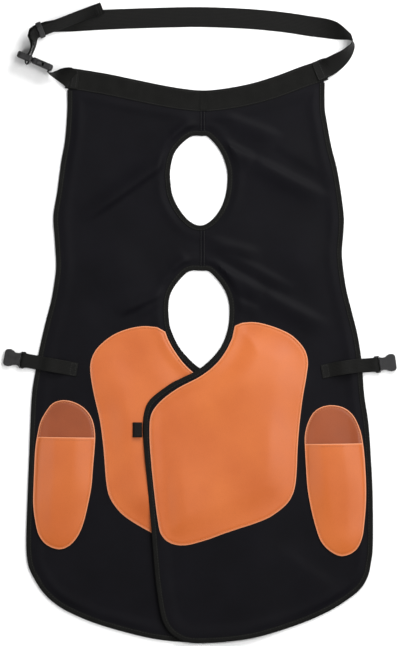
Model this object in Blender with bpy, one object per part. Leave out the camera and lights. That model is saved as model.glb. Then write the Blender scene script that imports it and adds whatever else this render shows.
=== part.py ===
"""A farrier's split-leg apron lying on its back, front up, in metres: +X across, +Y towards the waist, +Z up."""

import functools
import math

import bmesh
import bpy
from mathutils import Vector
from mathutils.geometry import delaunay_2d_cdt

# Driving sizes
APRON_LENGTH = 0.922  # from the waistband's left corner to the hem
HALF_WIDTH = 0.278  # from the centre line to the widest part of the hem
WAIST_Y = 0.408  # the waistband's left corner above the frame's origin line
PANEL_THICK = 0.0020
LEATHER_THICK = 0.0018
CLEAR = 0.0003  # between two pieces that lie on one another
BIND_WALL = 0.0010
BIND_DEPTH = 0.0084  # how far the edge binding reaches over the cloth
BAND_WALL = 0.0012
BAND_DEPTH = 0.0335  # height of the waistband
WEB_WIDTH = 0.0320
WEB_THICK = 0.0016
STRAP_WIDTH = 0.0225
STRAP_THICK = 0.0016
OVAL_HALF = 0.0458  # half of the upper opening's width
OVAL_HEIGHT = 0.1424
OVAL_TOP = 0.1207  # share of the apron's length
DROP_HALF = 0.0486  # half of the lower opening's width
DROP_HEIGHT = 0.1546
DROP_TOP = 0.3545  # share of the apron's length
OPENING_SHIFT = -0.0018  # both openings sit a little left of the centre line
SEAM_X = 0.0042  # the centre seam
SEAM_WIDTH = 0.0080
CUT_Y = 0.1175  # each panel is two sheets that meet here, between the openings
OVERLAP_LIFT = 0.0063  # the right leg lies over the left one
OVERLAP_EASE = 0.0900
POCKET_BULGE = 0.0100
POCKET_RIM = 0.0060
BUCKLE_LENGTH = 0.0600
BUCKLE_WIDTH = 0.0400
BUCKLE_THICK = 0.0100
BUCKLE_ACROSS = -0.948  # the waist buckle's middle, as shares of the half width and of the length
BUCKLE_DOWN = -0.0095
HELD_WIDTH = BUCKLE_LENGTH * 139 / 30  # beside the buckle the belt's shares stand for these lengths
HELD_LENGTH = BUCKLE_LENGTH * 461 / 30
LEG_BUCKLE_LENGTH = 0.0344
LEG_BUCKLE_WIDTH = 0.0290
LEG_BUCKLE_THICK = 0.0080
NET = 0.0290  # spacing of the points inside a sheet

# Outer line of the left side and hem: share of the half width, share of the length
LEFT_SIDE = (
    (-0.764, 0.0405),
    (-0.764, 0.075),
    (-0.776, 0.125),
    (-0.799, 0.165),
    (-0.822, 0.217),
    (-0.844, 0.259),
    (-0.836, 0.300),
    (-0.828, 0.345),
    (-0.839, 0.375),
    (-0.856, 0.405),
    (-0.891, 0.446),
    (-0.925, 0.491),
    (-0.948, 0.530),
    (-0.969, 0.575),
    (-0.983, 0.675),
    (-0.993, 0.750),
    (-1.000, 0.815),
    (-0.997, 0.848),
    (-0.983, 0.870),
    (-0.950, 0.890),
    (-0.905, 0.911),
    (-0.835, 0.931),
    (-0.740, 0.948),
    (-0.575, 0.968),
    (-0.333, 0.988),
    (-0.170, 0.996),
    (-0.010, 0.999),
)
RIGHT_SIDE = (
    (0.718, 0.0275),
    (0.718, 0.070),
    (0.730, 0.095),
    (0.756, 0.138),
    (0.787, 0.175),
    (0.811, 0.217),
    (0.828, 0.259),
    (0.826, 0.285),
    (0.817, 0.320),
    (0.822, 0.345),
    (0.842, 0.386),
    (0.874, 0.425),
    (0.908, 0.467),
    (0.932, 0.515),
    (0.945, 0.568),
    (0.970, 0.620),
    (0.984, 0.680),
    (0.994, 0.745),
    (0.995, 0.830),
    (0.983, 0.862),
    (0.966, 0.884),
    (0.925, 0.905),
    (0.845, 0.925),
    (0.730, 0.946),
    (0.569, 0.967),
    (0.345, 0.988),
    (0.172, 0.9965),
    (0.010, 0.9995),
)
# Inner edge of the right leg from hem to crossing, the left leg's is its mirror
INNER_EDGE = (
    (-0.070, 0.998),
    (-0.135, 0.990),
    (-0.188, 0.976),
    (-0.224, 0.952),
    (-0.253, 0.898),
    (-0.270, 0.842),
    (-0.283, 0.790),
    (-0.302, 0.726),
    (-0.319, 0.674),
    (-0.328, 0.632),
    (-0.322, 0.601),
    (-0.287, 0.577),
    (-0.178, 0.551),
    (-0.105, 0.5395),
    (-0.040, 0.530),
)
# Half outlines of the two openings, top to bottom: share of the half width, share of the height
OVAL_LEFT = (
    (-0.27, 0.000),
    (-0.64, 0.093),
    (-0.88, 0.205),
    (-1.00, 0.376),
    (-0.99, 0.520),
    (-0.92, 0.660),
    (-0.70, 0.810),
    (-0.35, 0.945),
)
OVAL_RIGHT = (
    (0.30, 0.000),
    (0.59, 0.093),
    (0.81, 0.205),
    (0.95, 0.330),
    (1.00, 0.450),
    (0.95, 0.630),
    (0.77, 0.800),
    (0.42, 0.945),
)
DROP_LEFT = (
    (-0.32, 0.000),
    (-0.69, 0.108),
    (-0.92, 0.225),
    (-1.00, 0.345),
    (-0.99, 0.480),
    (-0.92, 0.605),
    (-0.66, 0.780),
    (-0.33, 0.905),
    (-0.05, 0.985),
)
DROP_RIGHT = (
    (0.33, 0.000),
    (0.57, 0.072),
    (0.77, 0.153),
    (0.92, 0.245),
    (1.00, 0.360),
    (0.99, 0.520),
    (0.90, 0.655),
    (0.73, 0.780),
    (0.44, 0.895),
    (0.08, 0.995),
)
# Top line of the waistband: share of the half width, share of the length
BAND_TOP = (
    (-0.760, 0.0010),
    (-0.667, 0.0052),
    (-0.529, 0.0122),
    (-0.391, 0.0208),
    (-0.253, 0.0295),
    (-0.115, 0.0370),
    (0.023, 0.0408),
    (0.161, 0.0365),
    (0.299, 0.0283),
    (0.437, 0.0156),
    (0.575, 0.0000),
    (0.644, -0.0069),
    (0.704, -0.0124),
)
# Leather knee patches: share of the half width, share of the length
RIGHT_PATCH = (
    (0.200, 0.4492),
    (0.240, 0.4440),
    (0.305, 0.4427),
    (0.374, 0.4462),
    (0.460, 0.455),
    (0.534, 0.467),
    (0.598, 0.488),
    (0.621, 0.510),
    (0.613, 0.536),
    (0.592, 0.573),
    (0.575, 0.613),
    (0.563, 0.655),
    (0.557, 0.696),
    (0.550, 0.722),
    (0.533, 0.742),
    (0.494, 0.760),
    (0.408, 0.780),
    (0.316, 0.792),
    (0.224, 0.801),
    (0.126, 0.811),
    (0.0345, 0.821),
    (-0.086, 0.830),
    (-0.172, 0.826),
    (-0.224, 0.811),
    (-0.244, 0.786),
    (-0.264, 0.738),
    (-0.2816, 0.686),
    (-0.291, 0.642),
    (-0.287, 0.610),
    (-0.262, 0.592),
    (-0.205, 0.574),
    (-0.120, 0.556),
    (0.000, 0.537),
    (0.088, 0.5165),
    (0.147, 0.4935),
    (0.184, 0.4710),
)
LEFT_PATCH = (
    (-0.200, 0.4592),
    (-0.247, 0.4514),
    (-0.328, 0.4497),
    (-0.420, 0.4549),
    (-0.5115, 0.467),
    (-0.592, 0.488),
    (-0.628, 0.510),
    (-0.630, 0.534),
    (-0.609, 0.571),
    (-0.577, 0.613),
    (-0.558, 0.655),
    (-0.547, 0.696),
    (-0.540, 0.720),
    (-0.526, 0.742),
    (-0.490, 0.762),
    (-0.425, 0.782),
    (-0.287, 0.807),
    (-0.161, 0.823),
    (-0.0345, 0.830),
    (0.086, 0.830),
    (0.172, 0.823),
    (0.224, 0.807),
    (0.244, 0.780),
    (0.264, 0.738),
    (0.2816, 0.686),
    (0.291, 0.642),
    (0.287, 0.610),
    (0.262, 0.592),
    (0.205, 0.574),
    (0.120, 0.556),
    (0.000, 0.5375),
    (-0.045, 0.5285),
    (-0.100, 0.512),
    (-0.152, 0.490),
    (-0.185, 0.472),
)
# Tool pockets, round from the top: share of the half width, share of the length
LEFT_POCKET = (
    (-0.782, 0.578),
    (-0.845, 0.583),
    (-0.885, 0.597),
    (-0.919, 0.616),
    (-0.938, 0.641),
    (-0.949, 0.665),
    (-0.954, 0.696),
    (-0.958, 0.727),
    (-0.960, 0.758),
    (-0.947, 0.790),
    (-0.925, 0.814),
    (-0.879, 0.830),
    (-0.810, 0.837),
    (-0.753, 0.831),
    (-0.707, 0.816),
    (-0.672, 0.793),
    (-0.644, 0.759),
    (-0.624, 0.727),
    (-0.615, 0.693),
    (-0.606, 0.661),
    (-0.603, 0.637),
    (-0.618, 0.613),
    (-0.655, 0.595),
    (-0.713, 0.583),
)
RIGHT_POCKET = (
    (0.770, 0.587),
    (0.713, 0.5885),
    (0.661, 0.597),
    (0.626, 0.613),
    (0.6034, 0.637),
    (0.6034, 0.661),
    (0.609, 0.693),
    (0.618, 0.731),
    (0.638, 0.766),
    (0.664, 0.797),
    (0.695, 0.823),
    (0.747, 0.840),
    (0.816, 0.849),
    (0.891, 0.840),
    (0.932, 0.818),
    (0.947, 0.787),
    (0.955, 0.755),
    (0.955, 0.7205),
    (0.948, 0.682),
    (0.938, 0.653),
    (0.922, 0.630),
    (0.885, 0.606),
    (0.833, 0.592),
)
LEFT_MOUTH = (0.6415, 0.6430)  # mouth line at the pocket's left and right, share of the length
RIGHT_MOUTH = (0.6540, 0.6528)
# Drag folds: from (across, down) to (across, down), height and half breadth in shares of the thickness
FOLDS = (
    (-0.195, 0.163, -0.603, 0.252, 2.6, 8.0),
    (-0.040, 0.097, -0.167, 0.129, 1.4, 6.0),
    (-0.069, 0.332, -0.167, 0.354, 1.4, 6.0),
    (-0.2126, 0.393, -0.440, 0.424, 2.0, 7.0),
    (0.132, 0.135, 0.310, 0.1615, 2.4, 8.0),
    (0.310, 0.1615, 0.684, 0.219, 2.4, 8.0),
    (0.121, 0.082, 0.448, 0.120, 1.6, 8.0),
    (0.069, 0.302, 0.310, 0.321, 1.8, 8.0),
    (0.069, 0.342, 0.362, 0.3906, 2.4, 8.0),
    (0.362, 0.3906, 0.684, 0.441, 2.0, 8.0),
)
# Soft swells under the leather: across, down, height and half breadth in shares of the thickness
SWELLS = (
    (0.440, 0.560, 1.6, 36.0),
    (0.330, 0.700, 1.4, 34.0),
    (-0.500, 0.560, 1.2, 26.0),
    (-0.480, 0.360, 1.4, 34.0),
    (0.560, 0.330, 1.4, 34.0),
)
# Waist belt, along its lower edge: across, down, lean in degrees, height in shares of its thickness
BELT = (
    (0.686, 0.0252, 0, 4.1),
    (0.724, 0.0205, 0, 4.1),
    (0.776, 0.0122, 22, 2.8),
    (0.822, 0.0009, 35, 1.5),
    (0.858, -0.0113, 47, 0.8),
    (0.881, -0.0243, 61, 0.4),
    (0.890, -0.0356, 71, 0.3),
    (0.885, -0.0420, 80, 0.3),
    (0.876, -0.0455, 90, 0.3),
    (0.859, -0.0474, 105, 0.3),
    (0.833, -0.0474, 122, 0.35),
    (0.793, -0.0476, 142, 0.45),
    (0.741, -0.0493, 158, 0.55),
    (0.684, -0.0514, 170, 0.6),
    (0.621, -0.0538, 176, 0.62),
    (0.529, -0.0582, 180, 0.65),
    (0.417, -0.0625, 180, 0.65),
    (0.282, -0.0660, 180, 0.65),
    (0.141, -0.0682, 180, 0.65),
    (0.000, -0.0693, 180, 0.65),
    (-0.141, -0.0689, 180, 0.65),
    (-0.282, -0.0677, 180, 0.65),
    (-0.411, -0.0665, 180, 0.65),
    (-0.506, -0.0653, 178, 0.65),
    (-0.575, -0.0644, 175, 0.65),
    (-0.632, -0.0634, 169, 0.65),
    (-0.690, -0.0623, 157, 0.65),
    (-0.747, -0.0614, 142, 0.8),
    (-0.799, -0.0610, 130, 1.2),
    (-0.839, -0.0608, 124, 1.7),
    (-0.878, -0.0603, 120, 2.2),
    (-0.8966, -0.05835, 120, 2.25),
    (-0.9086, -0.0570, 120, 2.25),
    (-0.9203, -0.0556, 120, 2.25),
    (-0.9330, -0.0542, 120, 2.25),
    (-0.9465, -0.0524, 117, 2.3),
    (-0.9555, -0.0487, 108, 2.4),
    (-0.9575, -0.0440, 100, 2.5),
    (-0.967, -0.0340, 92, 2.5),
    (-0.980, -0.0245, 90, 2.6),
    (-0.9891, -0.0207, 90, 2.6),
    (-0.9960, -0.0158, 90, 2.6),
    (-1.0029, -0.0108, 90, 2.6),
    (-1.0030, -0.0068, 90, 2.6),
    (-0.9985, -0.0042, 90, 2.6),
    (-0.9905, -0.0050, 90, 2.6),
    (-0.9848, -0.0083, 90, 2.6),
    (-0.9779, -0.0133, 90, 2.6),
    (-0.9710, -0.0183, 90, 2.6),
    (-0.9630, -0.0235, 90, 2.6),
    (-0.9480, -0.0340, 87, 2.5),
    (-0.9400, -0.0420, 80, 2.7),
    (-0.9375, -0.0460, 71, 3.0),
    (-0.9330, -0.0494, 63, 3.4),
    (-0.9243, -0.0513, 60, 3.47),
    (-0.9163, -0.0523, 60, 3.47),
    (-0.9043, -0.0536, 60, 3.47),
    (-0.8920, -0.0550, 60, 3.47),
    (-0.8620, -0.0583, 60, 4.6),
    (-0.7990, -0.0653, 60, 7.6),
    (-0.7470, -0.0712, 60, 9.2),
    (-0.6900, -0.0780, 60, 8.8),
    (-0.6320, -0.0847, 60, 7.0),
    (-0.5520, -0.0941, 60, 4.8),
)
# Short webbing from the waistband's left end into the buckle
TAB = (
    (-0.706, 0.0392, 180, 4.1),
    (-0.762, 0.0365, 180, 4.1),
    (-0.793, 0.0295, 164, 3.8),
    (-0.829, 0.0215, 132, 3.2),
    (-0.857, 0.0150, 99, 2.8),
    (-0.8725, 0.0093, 88, 2.6),
    (-0.8709, 0.0060, 90, 2.6),
    (-0.8637, 0.0014, 90, 2.6),
    (-0.8604, -0.0009, 90, 2.6),
)
# Leg straps along their middle: across, down, height in shares of the strap's thickness
LEFT_STRAP = (
    (-0.706, 0.5255, 2.0),
    (-0.735, 0.5240, 2.1),
    (-0.775, 0.5215, 5.2),
    (-0.822, 0.5190, 9.4),
    (-0.868, 0.5165, 9.4),
    (-0.912, 0.5142, 4.8),
    (-0.945, 0.5125, 3.62),
    (-0.975, 0.5108, 4.2),
    (-1.000, 0.5094, 5.7),
    (-1.017, 0.5086, 5.8),
    (-1.0275, 0.5081, 4.6),
    (-1.0290, 0.5080, 2.6),
)
RIGHT_STRAP = (
    (0.700, 0.5292, 2.0),
    (0.730, 0.5272, 2.1),
    (0.772, 0.5246, 5.2),
    (0.818, 0.5222, 9.4),
    (0.862, 0.5200, 9.4),
    (0.905, 0.5186, 4.8),
    (0.940, 0.5180, 3.62),
    (0.972, 0.5174, 4.2),
    (1.000, 0.5167, 5.7),
    (1.017, 0.5162, 5.8),
    (1.0275, 0.5159, 4.6),
    (1.0290, 0.5158, 2.6),
)
# Outline of a leg buckle from its mouth to its bar: share of the length, share of the half width
LEG_BUCKLE = (
    (0.00, 0.62),
    (0.03, 0.80),
    (0.10, 0.92),
    (0.26, 0.96),
    (0.38, 0.86),
    (0.46, 0.70),
    (0.60, 0.66),
    (0.72, 0.74),
    (0.78, 0.92),
    (0.95, 0.93),
    (1.00, 0.82),
)
# Flat strips of webbing folded over: the keeper on the crossing edge
KEEPER_ACROSS = (-0.3325, -0.385)
KEEPER_DOWN = 0.6295
KEEPER_WIDTH = 0.0240
KEEPER_HEIGHT = 0.0072


def clear_scene():
    for obj in list(bpy.data.objects):
        bpy.data.objects.remove(obj, do_unlink=True)


def material(name, colour, roughness):
    made = bpy.data.materials.new(name)
    made.use_nodes = True
    shader = made.node_tree.nodes["Principled BSDF"]
    shader.inputs["Base Color"].default_value = (*colour, 1.0)
    shader.inputs["Roughness"].default_value = roughness
    return made


def at(across, down):
    """Plan position of a point given in shares."""
    return Vector((across * HALF_WIDTH, WAIST_Y - down * APRON_LENGTH))


def ramp(value):
    """Smooth step from 0 to 1."""
    value = min(max(value, 0.0), 1.0)
    return value * value * (3.0 - 2.0 * value)


def curve_through(points, closed, step):
    """The points of a smooth line through these, about one step apart. A point may hold more than x and y."""
    count = len(points)
    rows = [list(p) for p in points]
    out = []
    spans = count if closed else count - 1
    for i in range(spans):
        if closed:
            a, b, c, d = rows[i - 1], rows[i], rows[(i + 1) % count], rows[(i + 2) % count]
        else:
            b = rows[i]
            c = rows[i + 1]
            a = rows[i - 1] if i else [2 * p - q for p, q in zip(b, c)]
            d = rows[i + 2] if i + 2 < count else [2 * q - p for p, q in zip(b, c)]
        length = math.hypot(c[0] - b[0], c[1] - b[1])
        pieces = max(1, round(length / step))
        for k in range(pieces):
            t = k / pieces
            out.append(
                [
                    0.5
                    * (
                        2 * q
                        + (r - p) * t
                        + (2 * p - 5 * q + 4 * r - s) * t * t
                        + (3 * q - p - 3 * r + s) * t * t * t
                    )
                    for p, q, r, s in zip(a, b, c, d)
                ]
            )
    if not closed:
        out.append(rows[-1])
    return out


def left_normals(path, closed):
    """Unit normal to the left of the line at each of its points."""
    out = []
    count = len(path)
    for i, here in enumerate(path):
        before = path[i - 1] if i or closed else here
        after = path[(i + 1) % count] if i + 1 < count or closed else here
        into = here - before
        away = after - here
        if into.length:
            into.normalize()
        if away.length:
            away.normalize()
        tangent = (into + away).normalized()
        normal = Vector((-tangent.y, tangent.x))
        straight = into if into.length else away
        turn = max(0.5, normal.dot(Vector((-straight.y, straight.x))))
        out.append(normal / turn)
    return out


def shifted(path, distance, closed):
    """The line moved to its left."""
    return [p + n * distance for p, n in zip(path, left_normals(path, closed))]


def dense(path, gap):
    """The broken line with points added so that no two are further apart than the gap."""
    out = []
    for a, b in zip(path, path[1:]):
        pieces = max(1, math.ceil((b - a).length / gap))
        out += [a + (b - a) * k / pieces for k in range(pieces)]
    return out + [path[-1]]


def distance_to(point, line, closed):
    """Shortest distance from a point to a broken line."""
    best = 10.0
    count = len(line)
    for i in range(count if closed else count - 1):
        a = line[i]
        b = line[(i + 1) % count]
        side = b - a
        length = side.length_squared
        t = 0.0 if not length else min(max((point - a).dot(side) / length, 0.0), 1.0)
        best = min(best, (point - a - side * t).length)
    return best


def inside(point, polygon):
    hit = False
    for i, b in enumerate(polygon):
        a = polygon[i - 1]
        if (a.y > point.y) != (b.y > point.y):
            if point.x < (b.x - a.x) * (point.y - a.y) / (b.y - a.y) + a.x:
                hit = not hit
    return hit


def new_object(name, verts, faces, surface):
    mesh = bpy.data.meshes.new(name)
    mesh.from_pydata([tuple(v) for v in verts], [], faces)
    work = bmesh.new()
    work.from_mesh(mesh)
    bmesh.ops.triangulate(work, faces=work.faces)
    bmesh.ops.recalc_face_normals(work, faces=work.faces)
    work.to_mesh(mesh)
    work.free()
    mesh.materials.append(surface)
    obj = bpy.data.objects.new(name, mesh)
    bpy.context.scene.collection.objects.link(obj)
    return obj


def opening(half, height, top, table):
    """Points of one side of an opening, top to bottom."""
    start = WAIST_Y - top * APRON_LENGTH
    return [Vector((OPENING_SHIFT + a * half, start - d * height)) for a, d in table]


def smooth(points, closed=False, step=0.032):
    return [Vector((p[0], p[1])) for p in curve_through(points, closed, step)]


# Lines that several pieces share
BAND_LINE = smooth([at(*row) for row in BAND_TOP], step=0.040)
OVAL_L = opening(OVAL_HALF, OVAL_HEIGHT, OVAL_TOP, OVAL_LEFT)
OVAL_R = opening(OVAL_HALF, OVAL_HEIGHT, OVAL_TOP, OVAL_RIGHT)
DROP_L = opening(DROP_HALF, DROP_HEIGHT, DROP_TOP, DROP_LEFT)
DROP_R = opening(DROP_HALF, DROP_HEIGHT, DROP_TOP, DROP_RIGHT)
OVAL_LINE = smooth(
    [Vector((SEAM_X, OVAL_L[0].y + 0.0006))]
    + OVAL_L
    + [Vector((SEAM_X - 0.004, OVAL_L[0].y - OVAL_HEIGHT))]
    + OVAL_R[::-1],
    closed=True,
    step=0.020,
)
INNER_R = [at(*row) for row in INNER_EDGE]
INNER_L = [Vector((-p.x, p.y)) for p in INNER_R]
SEAM_GAP = 0.5 * CLEAR
LEFT_LINE = smooth(
    [at(*row) for row in LEFT_SIDE]
    + INNER_L
    + DROP_L[::-1]
    + [Vector((SEAM_X - SEAM_GAP, DROP_L[0].y + 0.0006))]
)
RIGHT_LINE = smooth(
    [at(*row) for row in RIGHT_SIDE]
    + INNER_R
    + DROP_R[::-1]
    + [Vector((SEAM_X + SEAM_GAP, DROP_R[0].y + 0.0006))]
)
INSET = BIND_WALL + CLEAR
CROSSING = smooth(INNER_R, step=0.03) + smooth(INNER_L, step=0.03)[::-1]
EDGE_LIFT = BIND_WALL + CLEAR + 0.0001
BAND_LIFT = BAND_WALL + CLEAR + 0.0001


def fold_height(point):
    """How far the drag folds and swells raise the cloth here."""
    total = 0.0
    for a0, d0, a1, d1, height, breadth in FOLDS:
        start = at(a0, d0)
        side = at(a1, d1) - start
        t = (point - start).dot(side) / side.length_squared
        off = (point - start - side * t).length / (breadth * PANEL_THICK)
        ends = ramp((t + 0.15) / 0.3) * ramp((1.15 - t) / 0.3)
        total = max(total, height * PANEL_THICK * math.exp(-off * off) * ends)
    for across, down, height, breadth in SWELLS:
        off = (point - at(across, down)).length / (breadth * PANEL_THICK)
        total += height * PANEL_THICK * ramp(1.0 - off)
    return total


def edge_share(point, line):
    """1 where the binding wraps the cloth, easing to 0 further in."""
    near = min(distance_to(point, line, False), distance_to(point, OVAL_LINE, True))
    return 1.0 - ramp((near - 0.0125) / 0.020)


def band_share(point):
    """1 where the waistband wraps the cloth, easing to 0 below it."""
    return 1.0 - ramp((distance_to(point, BAND_LINE, False) - BAND_DEPTH - 0.002) / 0.022)


def left_bottom(point):
    edge = edge_share(point, LEFT_LINE)
    band = band_share(point)
    free = (1 - edge) * (1 - band) * (1 - over_share(point))
    return max(EDGE_LIFT * edge, BAND_LIFT * band) + fold_height(point) * free


def over_share(point):
    """1 where the right leg lies over the left one, easing to 0 away from it."""
    if inside(point, CROSSING):
        return 1.0
    return 1.0 - ramp((distance_to(point, CROSSING, True) - 0.003) / OVERLAP_EASE)


def eased(line):
    """The line with more points where the lift of the overlap changes."""
    out = []
    for a, b in zip(line, line[1:]):
        middle = over_share((a + b) / 2)
        change = abs(over_share(a) - middle) + abs(over_share(b) - middle)
        pieces = 1 + round(change / 0.18)
        out += [a + (b - a) * k / pieces for k in range(pieces)]
    return out + [line[-1]]


RIGHT_LINE = eased(RIGHT_LINE)


def right_bottom(point):
    edge = edge_share(point, RIGHT_LINE)
    band = band_share(point)
    over = over_share(point)
    free = (1 - edge) * (1 - band) * (1 - over)
    return max(EDGE_LIFT * edge, BAND_LIFT * band) + fold_height(point) * free + OVERLAP_LIFT * over


def net_inside(outline, extra, spacing):
    """Staggered points well inside the outline, kept clear of the extra points."""
    low_x = min(p.x for p in outline)
    high_x = max(p.x for p in outline)
    low_y = min(p.y for p in outline)
    high_y = max(p.y for p in outline)
    rise = spacing * math.sqrt(0.75)
    found = []
    row = math.floor(low_y / rise)
    while row * rise < high_y:
        column = math.floor(low_x / spacing)
        while column * spacing < high_x:
            spot = Vector(((column + 0.5 * (row % 2)) * spacing, row * rise))
            column += 1
            if not inside(spot, outline) or distance_to(spot, outline, True) < 0.45 * spacing:
                continue
            if all((spot - other).length > 0.55 * spacing for other in extra):
                found.append(spot)
        row += 1
    return found


def merged(groups, gap):
    """The points of these lists in order, leaving out any that is nearer than the gap to one before it."""
    kept = []
    for group in groups:
        kept += [p for p in group if all((p - q).length > gap for q in kept)]
    return kept


def sheet(name, outline, extra, bottom, thick, spacing, surface):
    """One flat piece: the same net of points below and above, joined round its edge."""
    extra = [p for p in extra if inside(p, outline) and distance_to(p, outline, True) > 0.004]
    points = list(outline) + extra + net_inside(outline, extra, spacing)
    count = len(outline)
    edges = [(i, (i + 1) % count) for i in range(count)]
    flat, _, faces, _, _, _ = delaunay_2d_cdt(points, edges, [], 1, 1e-7)
    turned = []
    for a, b, c in faces:
        area = (flat[b] - flat[a]).cross(flat[c] - flat[a])
        turned.append((a, b, c) if area > 0 else (a, c, b))
    sides = {(f[k], f[(k + 1) % 3]) for f in turned for k in range(3)}
    rim = [(a, b) for a, b in sides if (b, a) not in sides]
    low = [(p.x, p.y, bottom(Vector(p))) for p in flat]
    high = [(x, y, z + thick) for x, y, z in low]
    many = len(flat)
    solid = [(a + many, b + many, c + many) for a, b, c in turned]
    solid += [(a, c, b) for a, b, c in turned]
    solid += [(a + many, a, b, b + many) for a, b in rim]
    return new_object(name, low + high, solid, surface)


def folded_edge(name, line, closed, depth, wall, bottom, thick, surface):
    """A strip folded over an edge, outside to the right of the line."""
    normals = left_normals(line, closed)
    verts = []
    for spot, normal in zip(line, normals):
        rim = spot + normal * (wall + CLEAR)
        end = spot + normal * depth
        low = bottom(rim)
        low_in = bottom(end)
        low_wall = spot + normal * wall
        for place, height in (
            (spot, low + thick + CLEAR + wall),
            (end, low_in + thick + CLEAR + wall),
            (end, low_in + thick + CLEAR),
            (low_wall, low + thick + CLEAR),
            (low_wall, low - CLEAR),
            (end, low_in - CLEAR),
            (end, low_in - CLEAR - wall),
            (spot, low - CLEAR - wall),
        ):
            verts.append((place.x, place.y, height))
    faces = []
    count = len(line)
    for i in range(count if closed else count - 1):
        a = 8 * i
        b = 8 * ((i + 1) % count)
        for k in range(8):
            m = (k + 1) % 8
            faces.append((a + k, a + m, b + m, b + k))
    if not closed:
        for a in (0, 8 * (count - 1)):
            faces.append((a, a + 1, a + 2, a + 3))
            faces.append((a, a + 3, a + 4, a + 7))
            faces.append((a + 4, a + 5, a + 6, a + 7))
    return new_object(name, verts, faces, surface)


def band(name, middles, acrosses, width, thick, surface):
    """A strip of webbing along these middle points, each with its own direction across."""
    verts = []
    count = len(middles)
    for i, (spot, across) in enumerate(zip(middles, acrosses)):
        along = middles[min(i + 1, count - 1)] - middles[max(i - 1, 0)]
        normal = along.cross(across).normalized() * 0.5 * thick
        half = across * 0.5 * width
        verts += [spot - half - normal, spot + half - normal, spot + half + normal, spot - half + normal]
    faces = [(0, 1, 2, 3), tuple(4 * (count - 1) + k for k in range(4))]
    for i in range(count - 1):
        for k in range(4):
            m = (k + 1) % 4
            faces.append((4 * i + k, 4 * i + m, 4 * i + 4 + m, 4 * i + 4 + k))
    return new_object(name, verts, faces, surface)


def held(across, down):
    """Plan position of a point of the belt: near the waist buckle it keeps its distance from the buckle."""
    share = ramp((-across - 0.62) / 0.18)
    width = HALF_WIDTH + (HELD_WIDTH - HALF_WIDTH) * share
    length = APRON_LENGTH + (HELD_LENGTH - APRON_LENGTH) * share
    x = BUCKLE_ACROSS * HALF_WIDTH + (across - BUCKLE_ACROSS) * width
    y = WAIST_Y - BUCKLE_DOWN * APRON_LENGTH - (down - BUCKLE_DOWN) * length
    return Vector((x, y))


def leaning_band(name, table, step, surface):
    """Webbing whose lower edge follows the table while it leans over, to the left from 0 up to 180 degrees."""
    rows = [(*held(across, down), lean, height * WEB_THICK) for across, down, lean, height in table]
    rows = curve_through(rows, False, step)
    plan = [Vector((row[0], row[1])) for row in rows]
    middles = []
    acrosses = []
    for (x, y, lean, height), side in zip(rows, left_normals(plan, False)):
        side = side.normalized()
        angle = math.radians(lean)
        across = Vector((side.x * math.cos(angle), side.y * math.cos(angle), math.sin(angle)))
        acrosses.append(across)
        middles.append(Vector((x, y, height)) + across * 0.5 * WEB_WIDTH)
    return band(name, middles, acrosses, WEB_WIDTH, WEB_THICK, surface)


def slab(name, outline, low, high, chamfer, frame, surface):
    """A plate with this outline in the frame's first two directions, its rims chamfered."""
    origin, first, second, third = frame
    flat = [Vector(p) for p in outline]
    middle = sum(flat, Vector((0.0, 0.0))) / len(flat)
    area = sum(flat[i - 1].cross(flat[i]) for i in range(len(flat)))
    inner = shifted(flat, chamfer if area > 0 else -chamfer, True)
    rings = ((inner, low), (flat, low + chamfer), (flat, high - chamfer), (inner, high))
    verts = []
    for ring, height in rings:
        verts += [origin + first * p.x + second * p.y + third * height for p in ring]
    for height in (low, high):
        verts.append(origin + first * middle.x + second * middle.y + third * height)
    count = len(flat)
    faces = []
    for i in range(count):
        k = (i + 1) % count
        for ring in range(3):
            a = ring * count
            faces.append((a + i, a + k, a + count + k, a + count + i))
        faces.append((i, k, 4 * count))
        faces.append((3 * count + i, 3 * count + k, 4 * count + 1))
    return new_object(name, verts, faces, surface)


def box_cut(target, low, high, frame):
    """Takes a box, given in the frame's directions, out of the target."""
    origin, first, second, third = frame
    corners = []
    for z in (low[2], high[2]):
        for x, y in ((low[0], low[1]), (high[0], low[1]), (high[0], high[1]), (low[0], high[1])):
            corners.append(origin + first * x + second * y + third * z)
    faces = [(0, 1, 2, 3), (4, 5, 6, 7), (0, 1, 5, 4), (1, 2, 6, 5), (2, 3, 7, 6), (3, 0, 4, 7)]
    cutter = new_object(target.name + "_cut", corners, faces, target.data.materials[0])
    cutter.hide_render = True
    cut = target.modifiers.new("cut", "BOOLEAN")
    cut.operation = "DIFFERENCE"
    cut.solver = "EXACT"
    cut.use_self = True
    cut.object = cutter


def rounded(low, high, radius):
    """Rectangle with cut corners."""
    (x0, y0), (x1, y1) = low, high
    r = radius
    s = 0.3 * radius
    return [
        (x0 + r, y0),
        (x1 - r, y0),
        (x1 - s, y0 + s),
        (x1, y0 + r),
        (x1, y1 - r),
        (x1 - s, y1 - s),
        (x1 - r, y1),
        (x0 + r, y1),
        (x0 + s, y1 - s),
        (x0, y1 - r),
        (x0, y0 + r),
        (x0 + s, y0 + s),
    ]


def fold_points():
    """Extra points along each fold, so that the net follows it."""
    found = []
    for a0, d0, a1, d1, _, breadth in FOLDS:
        start = at(a0, d0)
        side = at(a1, d1) - start
        normal = Vector((-side.y, side.x)).normalized() * breadth * PANEL_THICK
        pieces = max(2, round(side.length / 0.026))
        for k in range(pieces + 1):
            spot = start + side * (k / pieces)
            for reach in (-1.0, 0.0, 1.0):
                here = spot + normal * reach
                if all((here - other).length > 0.006 for other in found):
                    found.append(here)
    return found


def crossings(line, x):
    """Heights at which a closed line crosses this x, lowest first."""
    found = []
    for i, b in enumerate(line):
        a = line[i - 1]
        if (a.x - x) * (b.x - x) <= 0 and a.x != b.x:
            found.append(a.y + (b.y - a.y) * (x - a.x) / (b.x - a.x))
    return sorted(found)


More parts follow.
